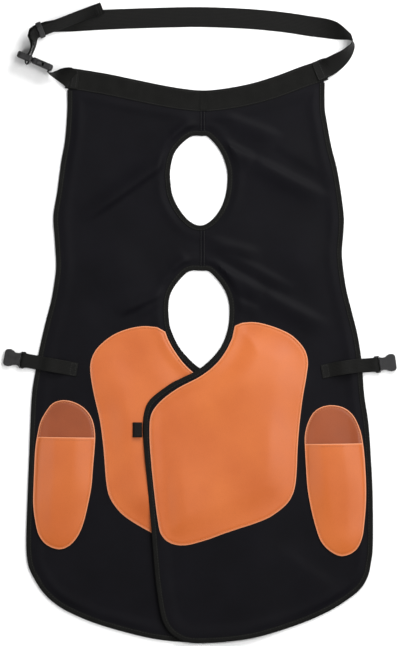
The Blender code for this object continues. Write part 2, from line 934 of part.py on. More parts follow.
def seam_heights(high, low):
    """Rows of points along the seam, shared by both panels and the strip over it."""
    return [high + (low - high) * k / 4 for k in range(5)]


def panel_outline(line, oval_in, seam_x, left):
    """Closed outline of one leg panel, inside its binding and the waistband."""
    edge = shifted(line, INSET, False) if left else shifted(line, -INSET, False)
    top = shifted(BAND_LINE, -(BAND_WALL + CLEAR), False)
    sign = 1.0 if left else -1.0
    side = sorted((p for p in oval_in if sign * (seam_x - p.x) > 0.002), key=lambda p: p.y)
    oval_low, oval_top = crossings(oval_in, seam_x)[0], crossings(oval_in, seam_x)[-1]
    edge[-1] = Vector((seam_x, edge[-1].y))
    upper = [p for p in top if sign * (seam_x - p.x) > 0.012]
    if not left:
        upper = upper[::-1]
    upper[0] = Vector((edge[0].x, upper[0].y))
    seam_top = min(p.y for p in top) - 0.0002
    lower_rows = [y for y in LOWER_SEAM[::-1] if edge[-1].y + 0.004 < y < oval_low - 0.004]
    upper_rows = [y for y in UPPER_SEAM[::-1] if oval_top + 0.004 < y < seam_top - 0.004]
    lower = [Vector((seam_x, y)) for y in lower_rows + [oval_low]]
    higher = [Vector((seam_x, y)) for y in [oval_top] + upper_rows + [seam_top]]
    return edge + lower + side + higher + upper[::-1]


UPPER_SEAM = seam_heights(
    min(p.y for p in BAND_LINE) - BAND_DEPTH - 0.0008, OVAL_L[0].y + 0.0006 + BIND_DEPTH + 0.0009
)
LOWER_SEAM = seam_heights(
    OVAL_L[0].y - OVAL_HEIGHT - BIND_DEPTH - 0.0009, DROP_L[0].y + 0.0006 + BIND_DEPTH + 0.0009
)
PATCH_LINES = {
    "left": [at(*LEFT_PATCH[0])] + smooth([at(*row) for row in LEFT_PATCH[1:]], step=0.030),
    "right": [at(*RIGHT_PATCH[0])] + smooth([at(*row) for row in RIGHT_PATCH[1:]], step=0.030),
}
POCKET_LINES = {
    "left": smooth([at(*row) for row in LEFT_POCKET], closed=True),
    "right": smooth([at(*row) for row in RIGHT_POCKET], closed=True),
}
POCKET_NET = 0.0200


def cut_across(outline, height, up):
    """The part of an outline above the height, or below it where up is -1."""
    edge = height + 0.5 * CLEAR * up
    kept = []
    ends = []
    for i, b in enumerate(outline):
        a = outline[i - 1]
        if (a.y - edge) * (b.y - edge) < 0:
            spot = a + (b - a) * ((edge - a.y) / (b.y - a.y))
            kept.append(spot)
            ends.append(spot)
        if (b.y - edge) * up > 0:
            kept.append(b)
    first = kept.index(ends[0])
    if kept[(first + 1) % len(kept)] != ends[1]:
        first = kept.index(ends[1])
    other = kept[(first + 1) % len(kept)]
    pieces = max(2, round((other - kept[first]).length / NET))
    added = [kept[first] + (other - kept[first]) * k / pieces for k in range(1, pieces)]
    return kept[: first + 1] + added + kept[first + 1 :]


def net_points(side, line, sign):
    """Points that a leg panel and the leather on it share, so that the stacked sheets bend alike."""
    reach = BIND_DEPTH + 0.0030
    oval_ring = shifted(OVAL_LINE, -reach, True)
    band_ring = dense(shifted(BAND_LINE, -(BAND_DEPTH + 0.0030), False), 0.024)
    band_ring += dense(shifted(BAND_LINE, -0.5 * BAND_DEPTH, False), 0.040)
    patch = PATCH_LINES[side]
    pocket = POCKET_LINES[side]
    leather = [patch + net_inside(patch, [], NET), pocket + net_inside(pocket, [], POCKET_NET)]
    ring = dense(shifted(line, sign * reach, False)[1:-1], 0.022)
    return merged(leather + [ring, oval_ring, band_ring, fold_points()], 0.007)


def make_panels(cloth):
    oval_in = shifted(OVAL_LINE, -INSET, True)
    for side, line, bottom, seam_x, sign in (
        ("left", LEFT_LINE, left_bottom, SEAM_X - SEAM_GAP, 1.0),
        ("right", RIGHT_LINE, right_bottom, SEAM_X + SEAM_GAP, -1.0),
    ):
        outline = panel_outline(line, oval_in, seam_x, side == "left")
        extra = net_points(side, line, sign)
        for name, up in (("_upper_panel", 1.0), ("_leg_panel", -1.0)):
            half = cut_across(outline, CUT_Y, up)
            sheet(side + name, half, extra, bottom, PANEL_THICK, NET, cloth)


def make_edges(tape):
    folded_edge("left_binding", LEFT_LINE, False, BIND_DEPTH, BIND_WALL, left_bottom, PANEL_THICK, tape)
    right = [p for p in RIGHT_LINE[::-1]]
    folded_edge("right_binding", right, False, BIND_DEPTH, BIND_WALL, right_bottom, PANEL_THICK, tape)
    ring = OVAL_LINE[::-1]
    folded_edge("oval_binding", ring, True, BIND_DEPTH, BIND_WALL, left_bottom, PANEL_THICK, tape)
    folded_edge(
        "waistband", BAND_LINE[::-1], False, BAND_DEPTH, BAND_WALL, left_bottom, PANEL_THICK, tape
    )


def make_seams(cloth):
    """The felled seam that joins the two halves above and below the oval."""
    for name, heights in (("upper_seam", UPPER_SEAM), ("lower_seam", LOWER_SEAM)):
        rows = []
        for y in heights:
            spot = Vector((SEAM_X, y))
            top = max(left_bottom(spot), right_bottom(spot)) + PANEL_THICK + CLEAR + 0.0002
            rows.append(Vector((SEAM_X, y, top + 0.0004)))
        band(name, rows, [Vector((1, 0, 0))] * len(rows), SEAM_WIDTH, 0.0008, cloth)


def patch_gap(point, bottom):
    return bottom(point) + PANEL_THICK + CLEAR + 0.0001


def make_patches(leather):
    for side, line, bottom, sign in (
        ("left", LEFT_LINE, left_bottom, 1.0),
        ("right", RIGHT_LINE, right_bottom, -1.0),
    ):
        extra = net_points(side, line, sign)
        name = side + "_knee_patch"
        above = functools.partial(patch_gap, bottom=bottom)
        sheet(name, PATCH_LINES[side], extra, above, LEATHER_THICK, NET, leather)


def pocket_share(point, outline, mouth_y, foot_y):
    """How far the pocket's front stands off its back: full at the mouth, none at the sewn rim."""
    inner = ramp((distance_to(point, outline, True) - POCKET_RIM) / 0.020)
    fall = (mouth_y - point.y) / (mouth_y - foot_y)
    return inner * (1.0 - 0.65 * ramp(fall))


def make_pocket(side, mouth, bottom, leather):
    outline = POCKET_LINES[side]
    raised = LEATHER_THICK + CLEAR + 0.0001
    name = side + "_pocket_back"
    sheet(name, outline, [], lambda p: patch_gap(p, bottom), LEATHER_THICK, POCKET_NET, leather)
    left_x = min(p.x for p in outline)
    right_x = max(p.x for p in outline)
    left_y = WAIST_Y - mouth[0] * APRON_LENGTH
    right_y = WAIST_Y - mouth[1] * APRON_LENGTH
    foot_y = min(p.y for p in outline)

    def mouth_at(x):
        return left_y + (right_y - left_y) * (x - left_x) / (right_x - left_x)

    below = []
    for i, here in enumerate(outline):
        before = outline[i - 1]
        gap_before = before.y - mouth_at(before.x)
        gap_here = here.y - mouth_at(here.x)
        if gap_before * gap_here < 0:
            share = gap_before / (gap_before - gap_here)
            below.append(before + (here - before) * share)
        if gap_here < -0.004:
            below.append(here)
    lips = [p for p in below if abs(p.y - mouth_at(p.x)) < 0.001]
    first, last = sorted(lips, key=lambda p: p.x)
    start = below.index(first)
    below = below[start:] + below[:start]
    if below[1] == last:
        below = [below[0]] + below[:0:-1]
    lip = [last + (first - last) * k / 6 for k in range(1, 6)]

    def front_bottom(point):
        stand = pocket_share(point, outline, left_y, foot_y) * POCKET_BULGE
        return patch_gap(point, bottom) + raised + stand

    sheet(side + "_pocket_front", below + lip, [], front_bottom, LEATHER_THICK, 0.0165, leather)


def make_waist_buckle(plastic):
    along = Vector((0.9188, -0.3947, 0.0))
    out = Vector((0.3947, 0.9188, 0.0))
    origin = Vector((*at(BUCKLE_ACROSS, BUCKLE_DOWN), 0.5 * BUCKLE_WIDTH + 0.0002))
    frame = (origin, along, Vector((0.0, 0.0, 1.0)), out)
    length = BUCKLE_LENGTH
    half = 0.5 * BUCKLE_WIDTH
    deep = 0.5 * BUCKLE_THICK
    start = -0.075 * length
    body = slab(
        "waist_buckle_female",
        rounded((start, -half), (0.5 * length, half), 0.004),
        -deep,
        deep,
        0.0015,
        frame,
        plastic,
    )
    box_cut(body, (start - 0.01, -half + 0.0035, -0.0032), (0.32 * length, half - 0.0035, 0.0032), frame)
    box_cut(body, (0.06 * length, -half - 0.01, -0.0028), (0.26 * length, half + 0.01, 0.0028), frame)
    box_cut(body, (0.395 * length, -half + 0.0030, -0.02), (0.455 * length, half - 0.0030, 0.02), frame)
    tail = start - CLEAR
    outline = [
        (tail - 0.0018, -0.0150),
        (0.065 * length, -0.0160),
        (0.075 * length, -0.0190),
        (0.21 * length, -0.0160),
        (0.24 * length, -0.0130),
        (0.10 * length, -0.0105),
        (start + 0.003, -0.0100),
        (start + 0.003, -0.0050),
        (0.22 * length, -0.0050),
        (0.22 * length, 0.0050),
        (start + 0.003, 0.0050),
        (start + 0.003, 0.0100),
        (0.10 * length, 0.0105),
        (0.24 * length, 0.0130),
        (0.21 * length, 0.0160),
        (0.075 * length, 0.0190),
        (0.065 * length, 0.0160),
        (tail - 0.0018, 0.0150),
    ]
    tongue = prism("waist_buckle_prongs", outline, -0.0024, 0.0024, frame, plastic)
    tongue.hide_render = True
    male = slab(
        "waist_buckle_male",
        rounded((-0.5 * length, -half), (tail, half), 0.004),
        -deep,
        deep,
        0.0015,
        frame,
        plastic,
    )
    for low, high in ((-0.268, -0.212), (-0.178, -0.122)):
        box_cut(male, (low * length, -0.0172, -0.02), (high * length, 0.0172, 0.02), frame)
    join = male.modifiers.new("prongs", "BOOLEAN")
    join.operation = "UNION"
    join.solver = "EXACT"
    join.object = tongue


def prism(name, outline, low, high, frame, surface):
    """A straight plate with this outline, which may be notched."""
    origin, first, second, third = frame
    flat = [Vector(p) for p in outline]
    count = len(flat)
    edges = [(i, (i + 1) % count) for i in range(count)]
    points, _, faces, _, _, _ = delaunay_2d_cdt(flat, edges, [], 1, 1e-7)
    turned = []
    for a, b, c in faces:
        area = (points[b] - points[a]).cross(points[c] - points[a])
        turned.append((a, b, c) if area > 0 else (a, c, b))
    sides = {(f[k], f[(k + 1) % 3]) for f in turned for k in range(3)}
    rim = [(a, b) for a, b in sides if (b, a) not in sides]
    many = len(points)
    verts = []
    for height in (low, high):
        verts += [origin + first * p.x + second * p.y + third * height for p in points]
    solid = [(a + many, b + many, c + many) for a, b, c in turned]
    solid += [(a, c, b) for a, b, c in turned]
    solid += [(a + many, a, b, b + many) for a, b in rim]
    return new_object(name, verts, solid, surface)


def make_slider(plastic):
    """The plastic loop that both layers of the belt pass through."""
    lean = math.radians(60)
    along = Vector((0.9354, 0.3535, 0.0)).normalized()
    side = Vector((-along.y, along.x, 0.0))
    across = side * math.cos(lean) + Vector((0.0, 0.0, math.sin(lean)))
    normal = along.cross(across).normalized()
    low_main = held(-0.9086, -0.0570)
    low_tail = held(-0.9043, -0.0536)
    middle = (low_main + low_tail) / 2
    origin = Vector((middle.x, middle.y, 0.5 * (2.25 + 3.47) * WEB_THICK)) + across * 0.5 * WEB_WIDTH
    frame = (origin, along, across, normal)
    half = 0.5 * WEB_WIDTH + 0.0024
    reach = 0.0046
    body = slab("belt_slider", rounded((-reach, -half), (reach, half), 0.002), -reach, reach, 0.001, frame, plastic)
    inner = 0.5 * WEB_WIDTH + 0.0006
    box_cut(body, (-0.02, -inner, 0.0006), (0.02, inner, reach - 0.0011), frame)
    box_cut(body, (-0.02, -inner, 0.0011 - reach), (0.02, inner, -0.0006), frame)


def make_leg_strap(side, table, plastic, webbing):
    rows = [(*at(across, down), height * STRAP_THICK) for across, down, height in table]
    rows = curve_through(rows, False, 0.010)
    middles = [Vector(row) for row in rows]
    plan = [Vector((row[0], row[1])) for row in rows]
    whole = (plan[-1] - plan[0]).normalized()
    across = Vector((-whole.y, whole.x, 0.0))
    band(side + "_leg_strap", middles, [across] * len(middles), STRAP_WIDTH, STRAP_THICK, webbing)
    bar_end = at(table[-1][0], table[-1][1])
    outline = [(s * LEG_BUCKLE_LENGTH, w * 0.5 * LEG_BUCKLE_WIDTH) for s, w in LEG_BUCKLE]
    outline += [(s * LEG_BUCKLE_LENGTH, -w * 0.5 * LEG_BUCKLE_WIDTH) for s, w in LEG_BUCKLE[::-1]]
    slot = 0.80 * LEG_BUCKLE_LENGTH
    back = Vector((-whole.x, -whole.y, 0.0))
    origin = Vector((bar_end.x, bar_end.y, 0.0)) - back * slot
    frame = (origin, back, Vector((-back.y, back.x, 0.0)), Vector((0.0, 0.0, 1.0)))
    name = side + "_leg_buckle"
    body = slab(name, outline, 0.0003, 0.0003 + LEG_BUCKLE_THICK, 0.0010, frame, plastic)
    half = 0.5 * STRAP_WIDTH + 0.0004
    box_cut(body, (slot - 0.0020, -half, -0.01), (slot + 0.0022, half, 0.02), frame)
    box_cut(body, (slot + 0.0010, -half, 0.0066), (slot + 0.02, half, 0.02), frame)
    wide = 0.27 * LEG_BUCKLE_WIDTH
    box_cut(body, (-0.01, -wide, 0.0022), (0.62 * LEG_BUCKLE_LENGTH, wide, 0.0064), frame)


def make_keeper(webbing):
    """A folded loop of webbing sewn to the crossing edge."""
    right = KEEPER_ACROSS[0] * HALF_WIDTH
    left = KEEPER_ACROSS[1] * HALF_WIDTH
    y = WAIST_Y - KEEPER_DOWN * APRON_LENGTH
    low = PANEL_THICK + LEATHER_THICK + 2 * CLEAR + 0.0008
    high = low + KEEPER_HEIGHT
    turn = 0.5 * KEEPER_HEIGHT
    path = [
        (right - 0.0006, low),
        (left + turn, low),
        (left + 0.45 * turn, low + 0.18 * turn),
        (left + 0.05 * turn, low + 0.70 * turn),
        (left + 0.05 * turn, high - 0.70 * turn),
        (left + 0.45 * turn, high - 0.18 * turn),
        (left + turn, high),
        (right - 0.0006, high),
    ]
    middles = [Vector((x, y, z)) for x, z in path]
    band("keeper_loop", middles, [Vector((0, 1, 0))] * len(middles), KEEPER_WIDTH, 0.0014, webbing)


def main():
    clear_scene()
    cloth = material("apron_cloth", (0.012, 0.012, 0.017), 0.85)
    tape = material("binding_tape", (0.014, 0.014, 0.013), 0.80)
    webbing = material("webbing", (0.013, 0.013, 0.012), 0.75)
    leather = material("leather", (0.62, 0.19, 0.055), 0.48)
    plastic = material("plastic", (0.045, 0.043, 0.046), 0.42)
    make_panels(cloth)
    make_edges(tape)
    make_seams(cloth)
    make_patches(leather)
    make_pocket("left", LEFT_MOUTH, left_bottom, leather)
    make_pocket("right", RIGHT_MOUTH, right_bottom, leather)
    leaning_band("waist_belt", BELT, 0.018, webbing)
    leaning_band("buckle_tab", TAB, 0.006, webbing)
    make_slider(plastic)
    make_waist_buckle(plastic)
    make_leg_strap("left", LEFT_STRAP, plastic, webbing)
    make_leg_strap("right", RIGHT_STRAP, plastic, webbing)
    make_keeper(webbing)


main()
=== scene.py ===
"""The farrier's apron as drawn, lying front up, in the frame's metres: +X across, +Y to the waist, +Z up."""

import functools
import math

import bmesh
import bpy
import numpy as np
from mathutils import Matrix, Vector
from mathutils.geometry import delaunay_2d_cdt


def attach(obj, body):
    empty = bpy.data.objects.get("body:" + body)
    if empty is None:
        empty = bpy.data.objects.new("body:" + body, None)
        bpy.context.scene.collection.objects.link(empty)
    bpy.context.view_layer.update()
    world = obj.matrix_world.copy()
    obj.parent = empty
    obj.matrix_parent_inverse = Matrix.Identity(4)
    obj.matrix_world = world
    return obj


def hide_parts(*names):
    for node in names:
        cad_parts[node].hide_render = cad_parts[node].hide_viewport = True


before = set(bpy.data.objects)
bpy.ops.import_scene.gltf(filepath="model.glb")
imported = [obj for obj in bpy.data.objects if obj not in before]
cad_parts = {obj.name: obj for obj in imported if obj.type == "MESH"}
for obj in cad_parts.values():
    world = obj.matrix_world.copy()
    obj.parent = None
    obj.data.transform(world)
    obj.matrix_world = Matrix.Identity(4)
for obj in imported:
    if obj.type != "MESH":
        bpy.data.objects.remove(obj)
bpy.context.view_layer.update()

# Driving sizes
APRON_LENGTH = 0.922  # from the waistband's left corner to the hem
HALF_WIDTH = 0.278  # from the centre line to the widest part of the hem
WAIST_Y = 0.408  # the waistband's left corner above the frame's origin line
PANEL_THICK = 0.0020
LEATHER_THICK = 0.0018
CLEAR = 0.0003  # between two pieces that lie on one another
SHEET_GAP = 0.0001  # between drawn sheets that touch
STITCH_SINK = 0.0001  # how far stitches sink into tape
BIND_WALL = 0.0010
BIND_DEPTH = 0.0084  # how far the edge binding reaches over the cloth
BAND_WALL = 0.0012
BAND_DEPTH = 0.0335  # height of the waistband
WEB_WIDTH = 0.0320
WEB_THICK = 0.0016
STRAP_WIDTH = 0.0225
STRAP_THICK = 0.0016
OVAL_HALF = 0.0458  # half of the upper opening's width
OVAL_HEIGHT = 0.1424
OVAL_TOP = 0.1207  # share of the apron's length
DROP_HALF = 0.0486  # half of the lower opening's width
DROP_HEIGHT = 0.1546
DROP_TOP = 0.3545  # share of the apron's length
OPENING_SHIFT = -0.0018  # both openings sit a little left of the centre line
OPENING_RISE = 0.0006  # their middle over their first side points
SEAM_X = 0.0042  # the centre seam
JOIN_X = 0.0056  # middle of the strip where the waistband's halves meet
JOIN_WIDTH = 0.0112
JOIN_THICK = 0.0010
OVERLAP_LIFT = 0.0063  # the right leg lies over the left one
POCKET_BULGE = 0.0100
POCKET_RIM = 0.0060
POCKET_ARCH = 0.0320  # from just inside the rim to where the front stands highest
TAPE_STITCH_IN = 0.0017  # stitch line inside a tape's inner edge
PATCH_STITCH_IN = 0.0036  # stitch line inside a knee patch's outline
POCKET_STITCH_IN = 0.0034
BAND_STITCH_IN = 0.0030  # the waistband's upper row, inside its top line
MOUTH_STITCH_IN = 0.0042  # below a pocket front's mouth
POCKET_FALL = 0.62  # share of the bulge that a pocket's front loses towards its foot
BIND_PUCKER = 0.00012
BAND_PUCKER = 0.00035
BAND_ROWS = 7  # rows of points across the waistband
STITCH_DENT = 0.00012  # depth of the dents that stitches leave in tape

# Distances over which a shape comes in: where it starts and how long it takes
EDGE_EASE = (0.0125, 0.020)  # the cloth comes down from under its edge binding
BAND_EASE = (0.002, 0.022)
FOLD_RIM = (0.0092, 0.010)  # folds grow away from the edge
FOLD_BAND = (0.001, 0.012)
OVERLAP_EASE = (0.003, 0.0900)
PATCH_EASE = (0.006, 0.045)
RIM_ROWS = (0.0020, 0.0028, 0.0036, 0.0044, 0.0056, 0.0080)  # rows of points inside a leather rim
PANEL_NET = 0.0042  # gap between a sheet's points
LEATHER_NET = 0.0040
LEATHER_PITCH = 0.0035  # gap between the points of a leather outline

# Stitches: length of thread on top, its thickness, pitch
LEATHER_STITCH = (0.0030, 0.0008, 0.0042)
EDGE_STITCH = (0.0027, 0.0006, 0.0046)
BAND_STITCH = (0.0028, 0.0006, 0.0044)
SEAM_STITCH = (0.0026, 0.0006, 0.0040)
BELT_STITCH = (0.0026, 0.0006, 0.0038)
STRAP_STITCH = (0.0026, 0.0006, 0.0036)
# One stitch's rings: place along it, thickness, rise
STITCH_RINGS = (
    (-1.0, 0.30, -0.25),
    (-0.62, 1.0, 0.35),
    (0.0, 1.0, 0.55),
    (0.62, 1.0, 0.35),
    (1.0, 0.30, -0.25),
)
UP = Vector((0.0, 0.0, 1.0))

# Outer line of the left side and hem: share of the half width, share of the length
LEFT_SIDE = (
    (-0.764, 0.0405),
    (-0.764, 0.075),
    (-0.776, 0.125),
    (-0.799, 0.165),
    (-0.822, 0.217),
    (-0.844, 0.259),
    (-0.836, 0.300),
    (-0.828, 0.345),
    (-0.839, 0.375),
    (-0.856, 0.405),
    (-0.891, 0.446),
    (-0.925, 0.491),
    (-0.948, 0.530),
    (-0.969, 0.575),
    (-0.983, 0.675),
    (-0.993, 0.750),
    (-1.000, 0.815),
    (-0.997, 0.848),
    (-0.983, 0.870),
    (-0.950, 0.890),
    (-0.905, 0.911),
    (-0.835, 0.931),
    (-0.740, 0.948),
    (-0.575, 0.968),
    (-0.333, 0.988),
    (-0.170, 0.996),
    (-0.010, 0.999),
)
RIGHT_SIDE = (
    (0.718, 0.0275),
    (0.718, 0.070),
    (0.730, 0.095),
    (0.756, 0.138),
    (0.787, 0.175),
    (0.811, 0.217),
    (0.828, 0.259),
    (0.826, 0.285),
    (0.817, 0.320),
    (0.822, 0.345),
    (0.842, 0.386),
    (0.874, 0.425),
    (0.908, 0.467),
    (0.932, 0.515),
    (0.945, 0.568),
    (0.970, 0.620),
    (0.984, 0.680),
    (0.994, 0.745),
    (0.995, 0.830),
    (0.983, 0.862),
    (0.966, 0.884),
    (0.925, 0.905),
    (0.845, 0.925),
    (0.730, 0.946),
    (0.569, 0.967),
    (0.345, 0.988),
    (0.172, 0.9965),
    (0.010, 0.9995),
)
# Inner edge of the right leg from hem to crossing, the left leg's is its mirror
INNER_EDGE = (
    (-0.070, 0.998),
    (-0.135, 0.990),
    (-0.188, 0.976),
    (-0.224, 0.952),
    (-0.253, 0.898),
    (-0.270, 0.842),
    (-0.283, 0.790),
    (-0.302, 0.726),
    (-0.319, 0.674),
    (-0.328, 0.632),
    (-0.322, 0.601),
    (-0.287, 0.577),
    (-0.178, 0.551),
    (-0.105, 0.5395),
    (-0.040, 0.530),
)
# Half outlines of the two openings, top to bottom: share of the half width, share of the height
OVAL_LEFT = (
    (-0.27, 0.000),
    (-0.64, 0.093),
    (-0.88, 0.205),
    (-1.00, 0.376),
    (-0.99, 0.520),
    (-0.92, 0.660),
    (-0.70, 0.810),
    (-0.35, 0.945),
)
OVAL_RIGHT = (
    (0.30, 0.000),
    (0.59, 0.093),
    (0.81, 0.205),
    (0.95, 0.330),
    (1.00, 0.450),
    (0.95, 0.630),
    (0.77, 0.800),
    (0.42, 0.945),
)
DROP_LEFT = (
    (-0.32, 0.000),
    (-0.69, 0.108),
    (-0.92, 0.225),
    (-1.00, 0.345),
    (-0.99, 0.480),
    (-0.92, 0.605),
    (-0.66, 0.780),
    (-0.33, 0.905),
    (-0.05, 0.985),
)
DROP_RIGHT = (
    (0.33, 0.000),
    (0.57, 0.072),
    (0.77, 0.153),
    (0.92, 0.245),
    (1.00, 0.360),
    (0.99, 0.520),
    (0.90, 0.655),
    (0.73, 0.780),
    (0.44, 0.895),
    (0.08, 0.995),
)
# Top line of the waistband: share of the half width, share of the length
BAND_TOP = (
    (-0.760, 0.0010),
    (-0.667, 0.0052),
    (-0.529, 0.0122),
    (-0.391, 0.0208),
    (-0.253, 0.0295),
    (-0.115, 0.0370),
    (0.023, 0.0408),
    (0.161, 0.0365),
    (0.299, 0.0283),
    (0.437, 0.0156),
    (0.575, 0.0000),
    (0.644, -0.0069),
    (0.704, -0.0124),
)
# Leather knee patches: share of the half width, share of the length
RIGHT_PATCH = (
    (0.200, 0.4492),
    (0.240, 0.4440),
    (0.305, 0.4427),
    (0.374, 0.4462),
    (0.460, 0.455),
    (0.534, 0.467),
    (0.598, 0.488),
    (0.621, 0.510),
    (0.613, 0.536),
    (0.592, 0.573),
    (0.575, 0.613),
    (0.563, 0.655),
    (0.557, 0.696),
    (0.550, 0.722),
    (0.533, 0.742),
    (0.494, 0.760),
    (0.408, 0.780),
    (0.316, 0.792),
    (0.224, 0.801),
    (0.126, 0.811),
    (0.0345, 0.821),
    (-0.086, 0.830),
    (-0.172, 0.826),
    (-0.224, 0.811),
    (-0.244, 0.786),
    (-0.264, 0.738),
    (-0.2816, 0.686),
    (-0.291, 0.642),
    (-0.287, 0.610),
    (-0.262, 0.592),
    (-0.205, 0.574),
    (-0.120, 0.556),
    (0.000, 0.537),
    (0.088, 0.5165),
    (0.147, 0.4935),
    (0.184, 0.4710),
)
LEFT_PATCH = (
    (-0.200, 0.4592),
    (-0.247, 0.4514),
    (-0.328, 0.4497),
    (-0.420, 0.4549),
    (-0.5115, 0.467),
    (-0.592, 0.488),
    (-0.628, 0.510),
    (-0.630, 0.534),
    (-0.609, 0.571),
    (-0.577, 0.613),
    (-0.558, 0.655),
    (-0.547, 0.696),
    (-0.540, 0.720),
    (-0.526, 0.742),
    (-0.490, 0.762),
    (-0.425, 0.782),
    (-0.287, 0.807),
    (-0.161, 0.823),
    (-0.0345, 0.830),
    (0.086, 0.830),
    (0.172, 0.823),
    (0.224, 0.807),
    (0.244, 0.780),
    (0.264, 0.738),
    (0.2816, 0.686),
    (0.291, 0.642),
    (0.287, 0.610),
    (0.262, 0.592),
    (0.205, 0.574),
    (0.120, 0.556),
    (0.000, 0.5375),
    (-0.045, 0.5285),
    (-0.100, 0.512),
    (-0.152, 0.490),
    (-0.185, 0.472),
)
# Tool pockets, round from the top: share of the half width, share of the length
LEFT_POCKET = (
    (-0.782, 0.578),
    (-0.845, 0.583),
    (-0.885, 0.597),
    (-0.919, 0.616),
    (-0.938, 0.641),
    (-0.949, 0.665),
    (-0.954, 0.696),
    (-0.958, 0.727),
    (-0.960, 0.758),
    (-0.947, 0.790),
    (-0.925, 0.814),
    (-0.879, 0.830),
    (-0.810, 0.837),
    (-0.753, 0.831),
    (-0.707, 0.816),
    (-0.672, 0.793),
    (-0.644, 0.759),
    (-0.624, 0.727),
    (-0.615, 0.693),
    (-0.606, 0.661),
    (-0.603, 0.637),
    (-0.618, 0.613),
    (-0.655, 0.595),
    (-0.713, 0.583),
)
RIGHT_POCKET = (
    (0.770, 0.587),
    (0.713, 0.5885),
    (0.661, 0.597),
    (0.626, 0.613),
    (0.6034, 0.637),
    (0.6034, 0.661),
    (0.609, 0.693),
    (0.618, 0.731),
    (0.638, 0.766),
    (0.664, 0.797),
    (0.695, 0.823),
    (0.747, 0.840),
    (0.816, 0.849),
    (0.891, 0.840),
    (0.932, 0.818),
    (0.947, 0.787),
    (0.955, 0.755),
    (0.955, 0.7205),
    (0.948, 0.682),
    (0.938, 0.653),
    (0.922, 0.630),
    (0.885, 0.606),
    (0.833, 0.592),
)
# Mouth line at the pocket's left and right, share of the length
LEFT_MOUTH = (0.6415, 0.6430)
RIGHT_MOUTH = (0.6540, 0.6528)
# Drag folds: from (across, down) to (across, down), height and half breadth in shares of the thickness
FOLDS = (
    (-0.195, 0.163, -0.603, 0.252, 2.6, 8.0),
    (-0.040, 0.097, -0.167, 0.129, 1.4, 6.0),
    (-0.069, 0.332, -0.167, 0.354, 1.4, 6.0),
    (-0.2126, 0.393, -0.440, 0.424, 2.0, 7.0),
    (0.132, 0.135, 0.310, 0.1615, 2.4, 8.0),
    (0.310, 0.1615, 0.684, 0.219, 2.4, 8.0),
    (0.121, 0.082, 0.448, 0.120, 1.6, 8.0),
    (0.069, 0.302, 0.310, 0.321, 1.8, 8.0),
    (0.069, 0.342, 0.362, 0.3906, 2.4, 8.0),
    (0.362, 0.3906, 0.684, 0.441, 2.0, 8.0),
)
# Finer folds, only drawn here
FINE_FOLDS = (
    (0.100, 0.312, 0.480, 0.375, 1.3, 6.0),
    (-0.070, 0.335, -0.400, 0.420, 0.8, 7.0),
    (-0.080, 0.100, -0.300, 0.165, 0.8, 9.0),
    (-0.190, 0.395, -0.330, 0.430, 0.9, 5.0),
    (0.130, 0.395, 0.330, 0.420, 1.0, 6.0),
    (0.700, 0.180, 0.420, 0.130, 0.7, 10.0),
    (0.420, 0.835, 0.800, 0.915, 0.6, 14.0),
    (-0.300, 0.880, -0.150, 0.930, 0.7, 12.0),
)
# Soft swells under the leather: across, down, height and half breadth in shares of the thickness
SWELLS = (
    (0.440, 0.560, 1.6, 36.0),
    (0.330, 0.700, 1.4, 34.0),
    (-0.500, 0.560, 1.2, 26.0),
    (-0.480, 0.360, 1.4, 34.0),
    (0.560, 0.330, 1.4, 34.0),
)
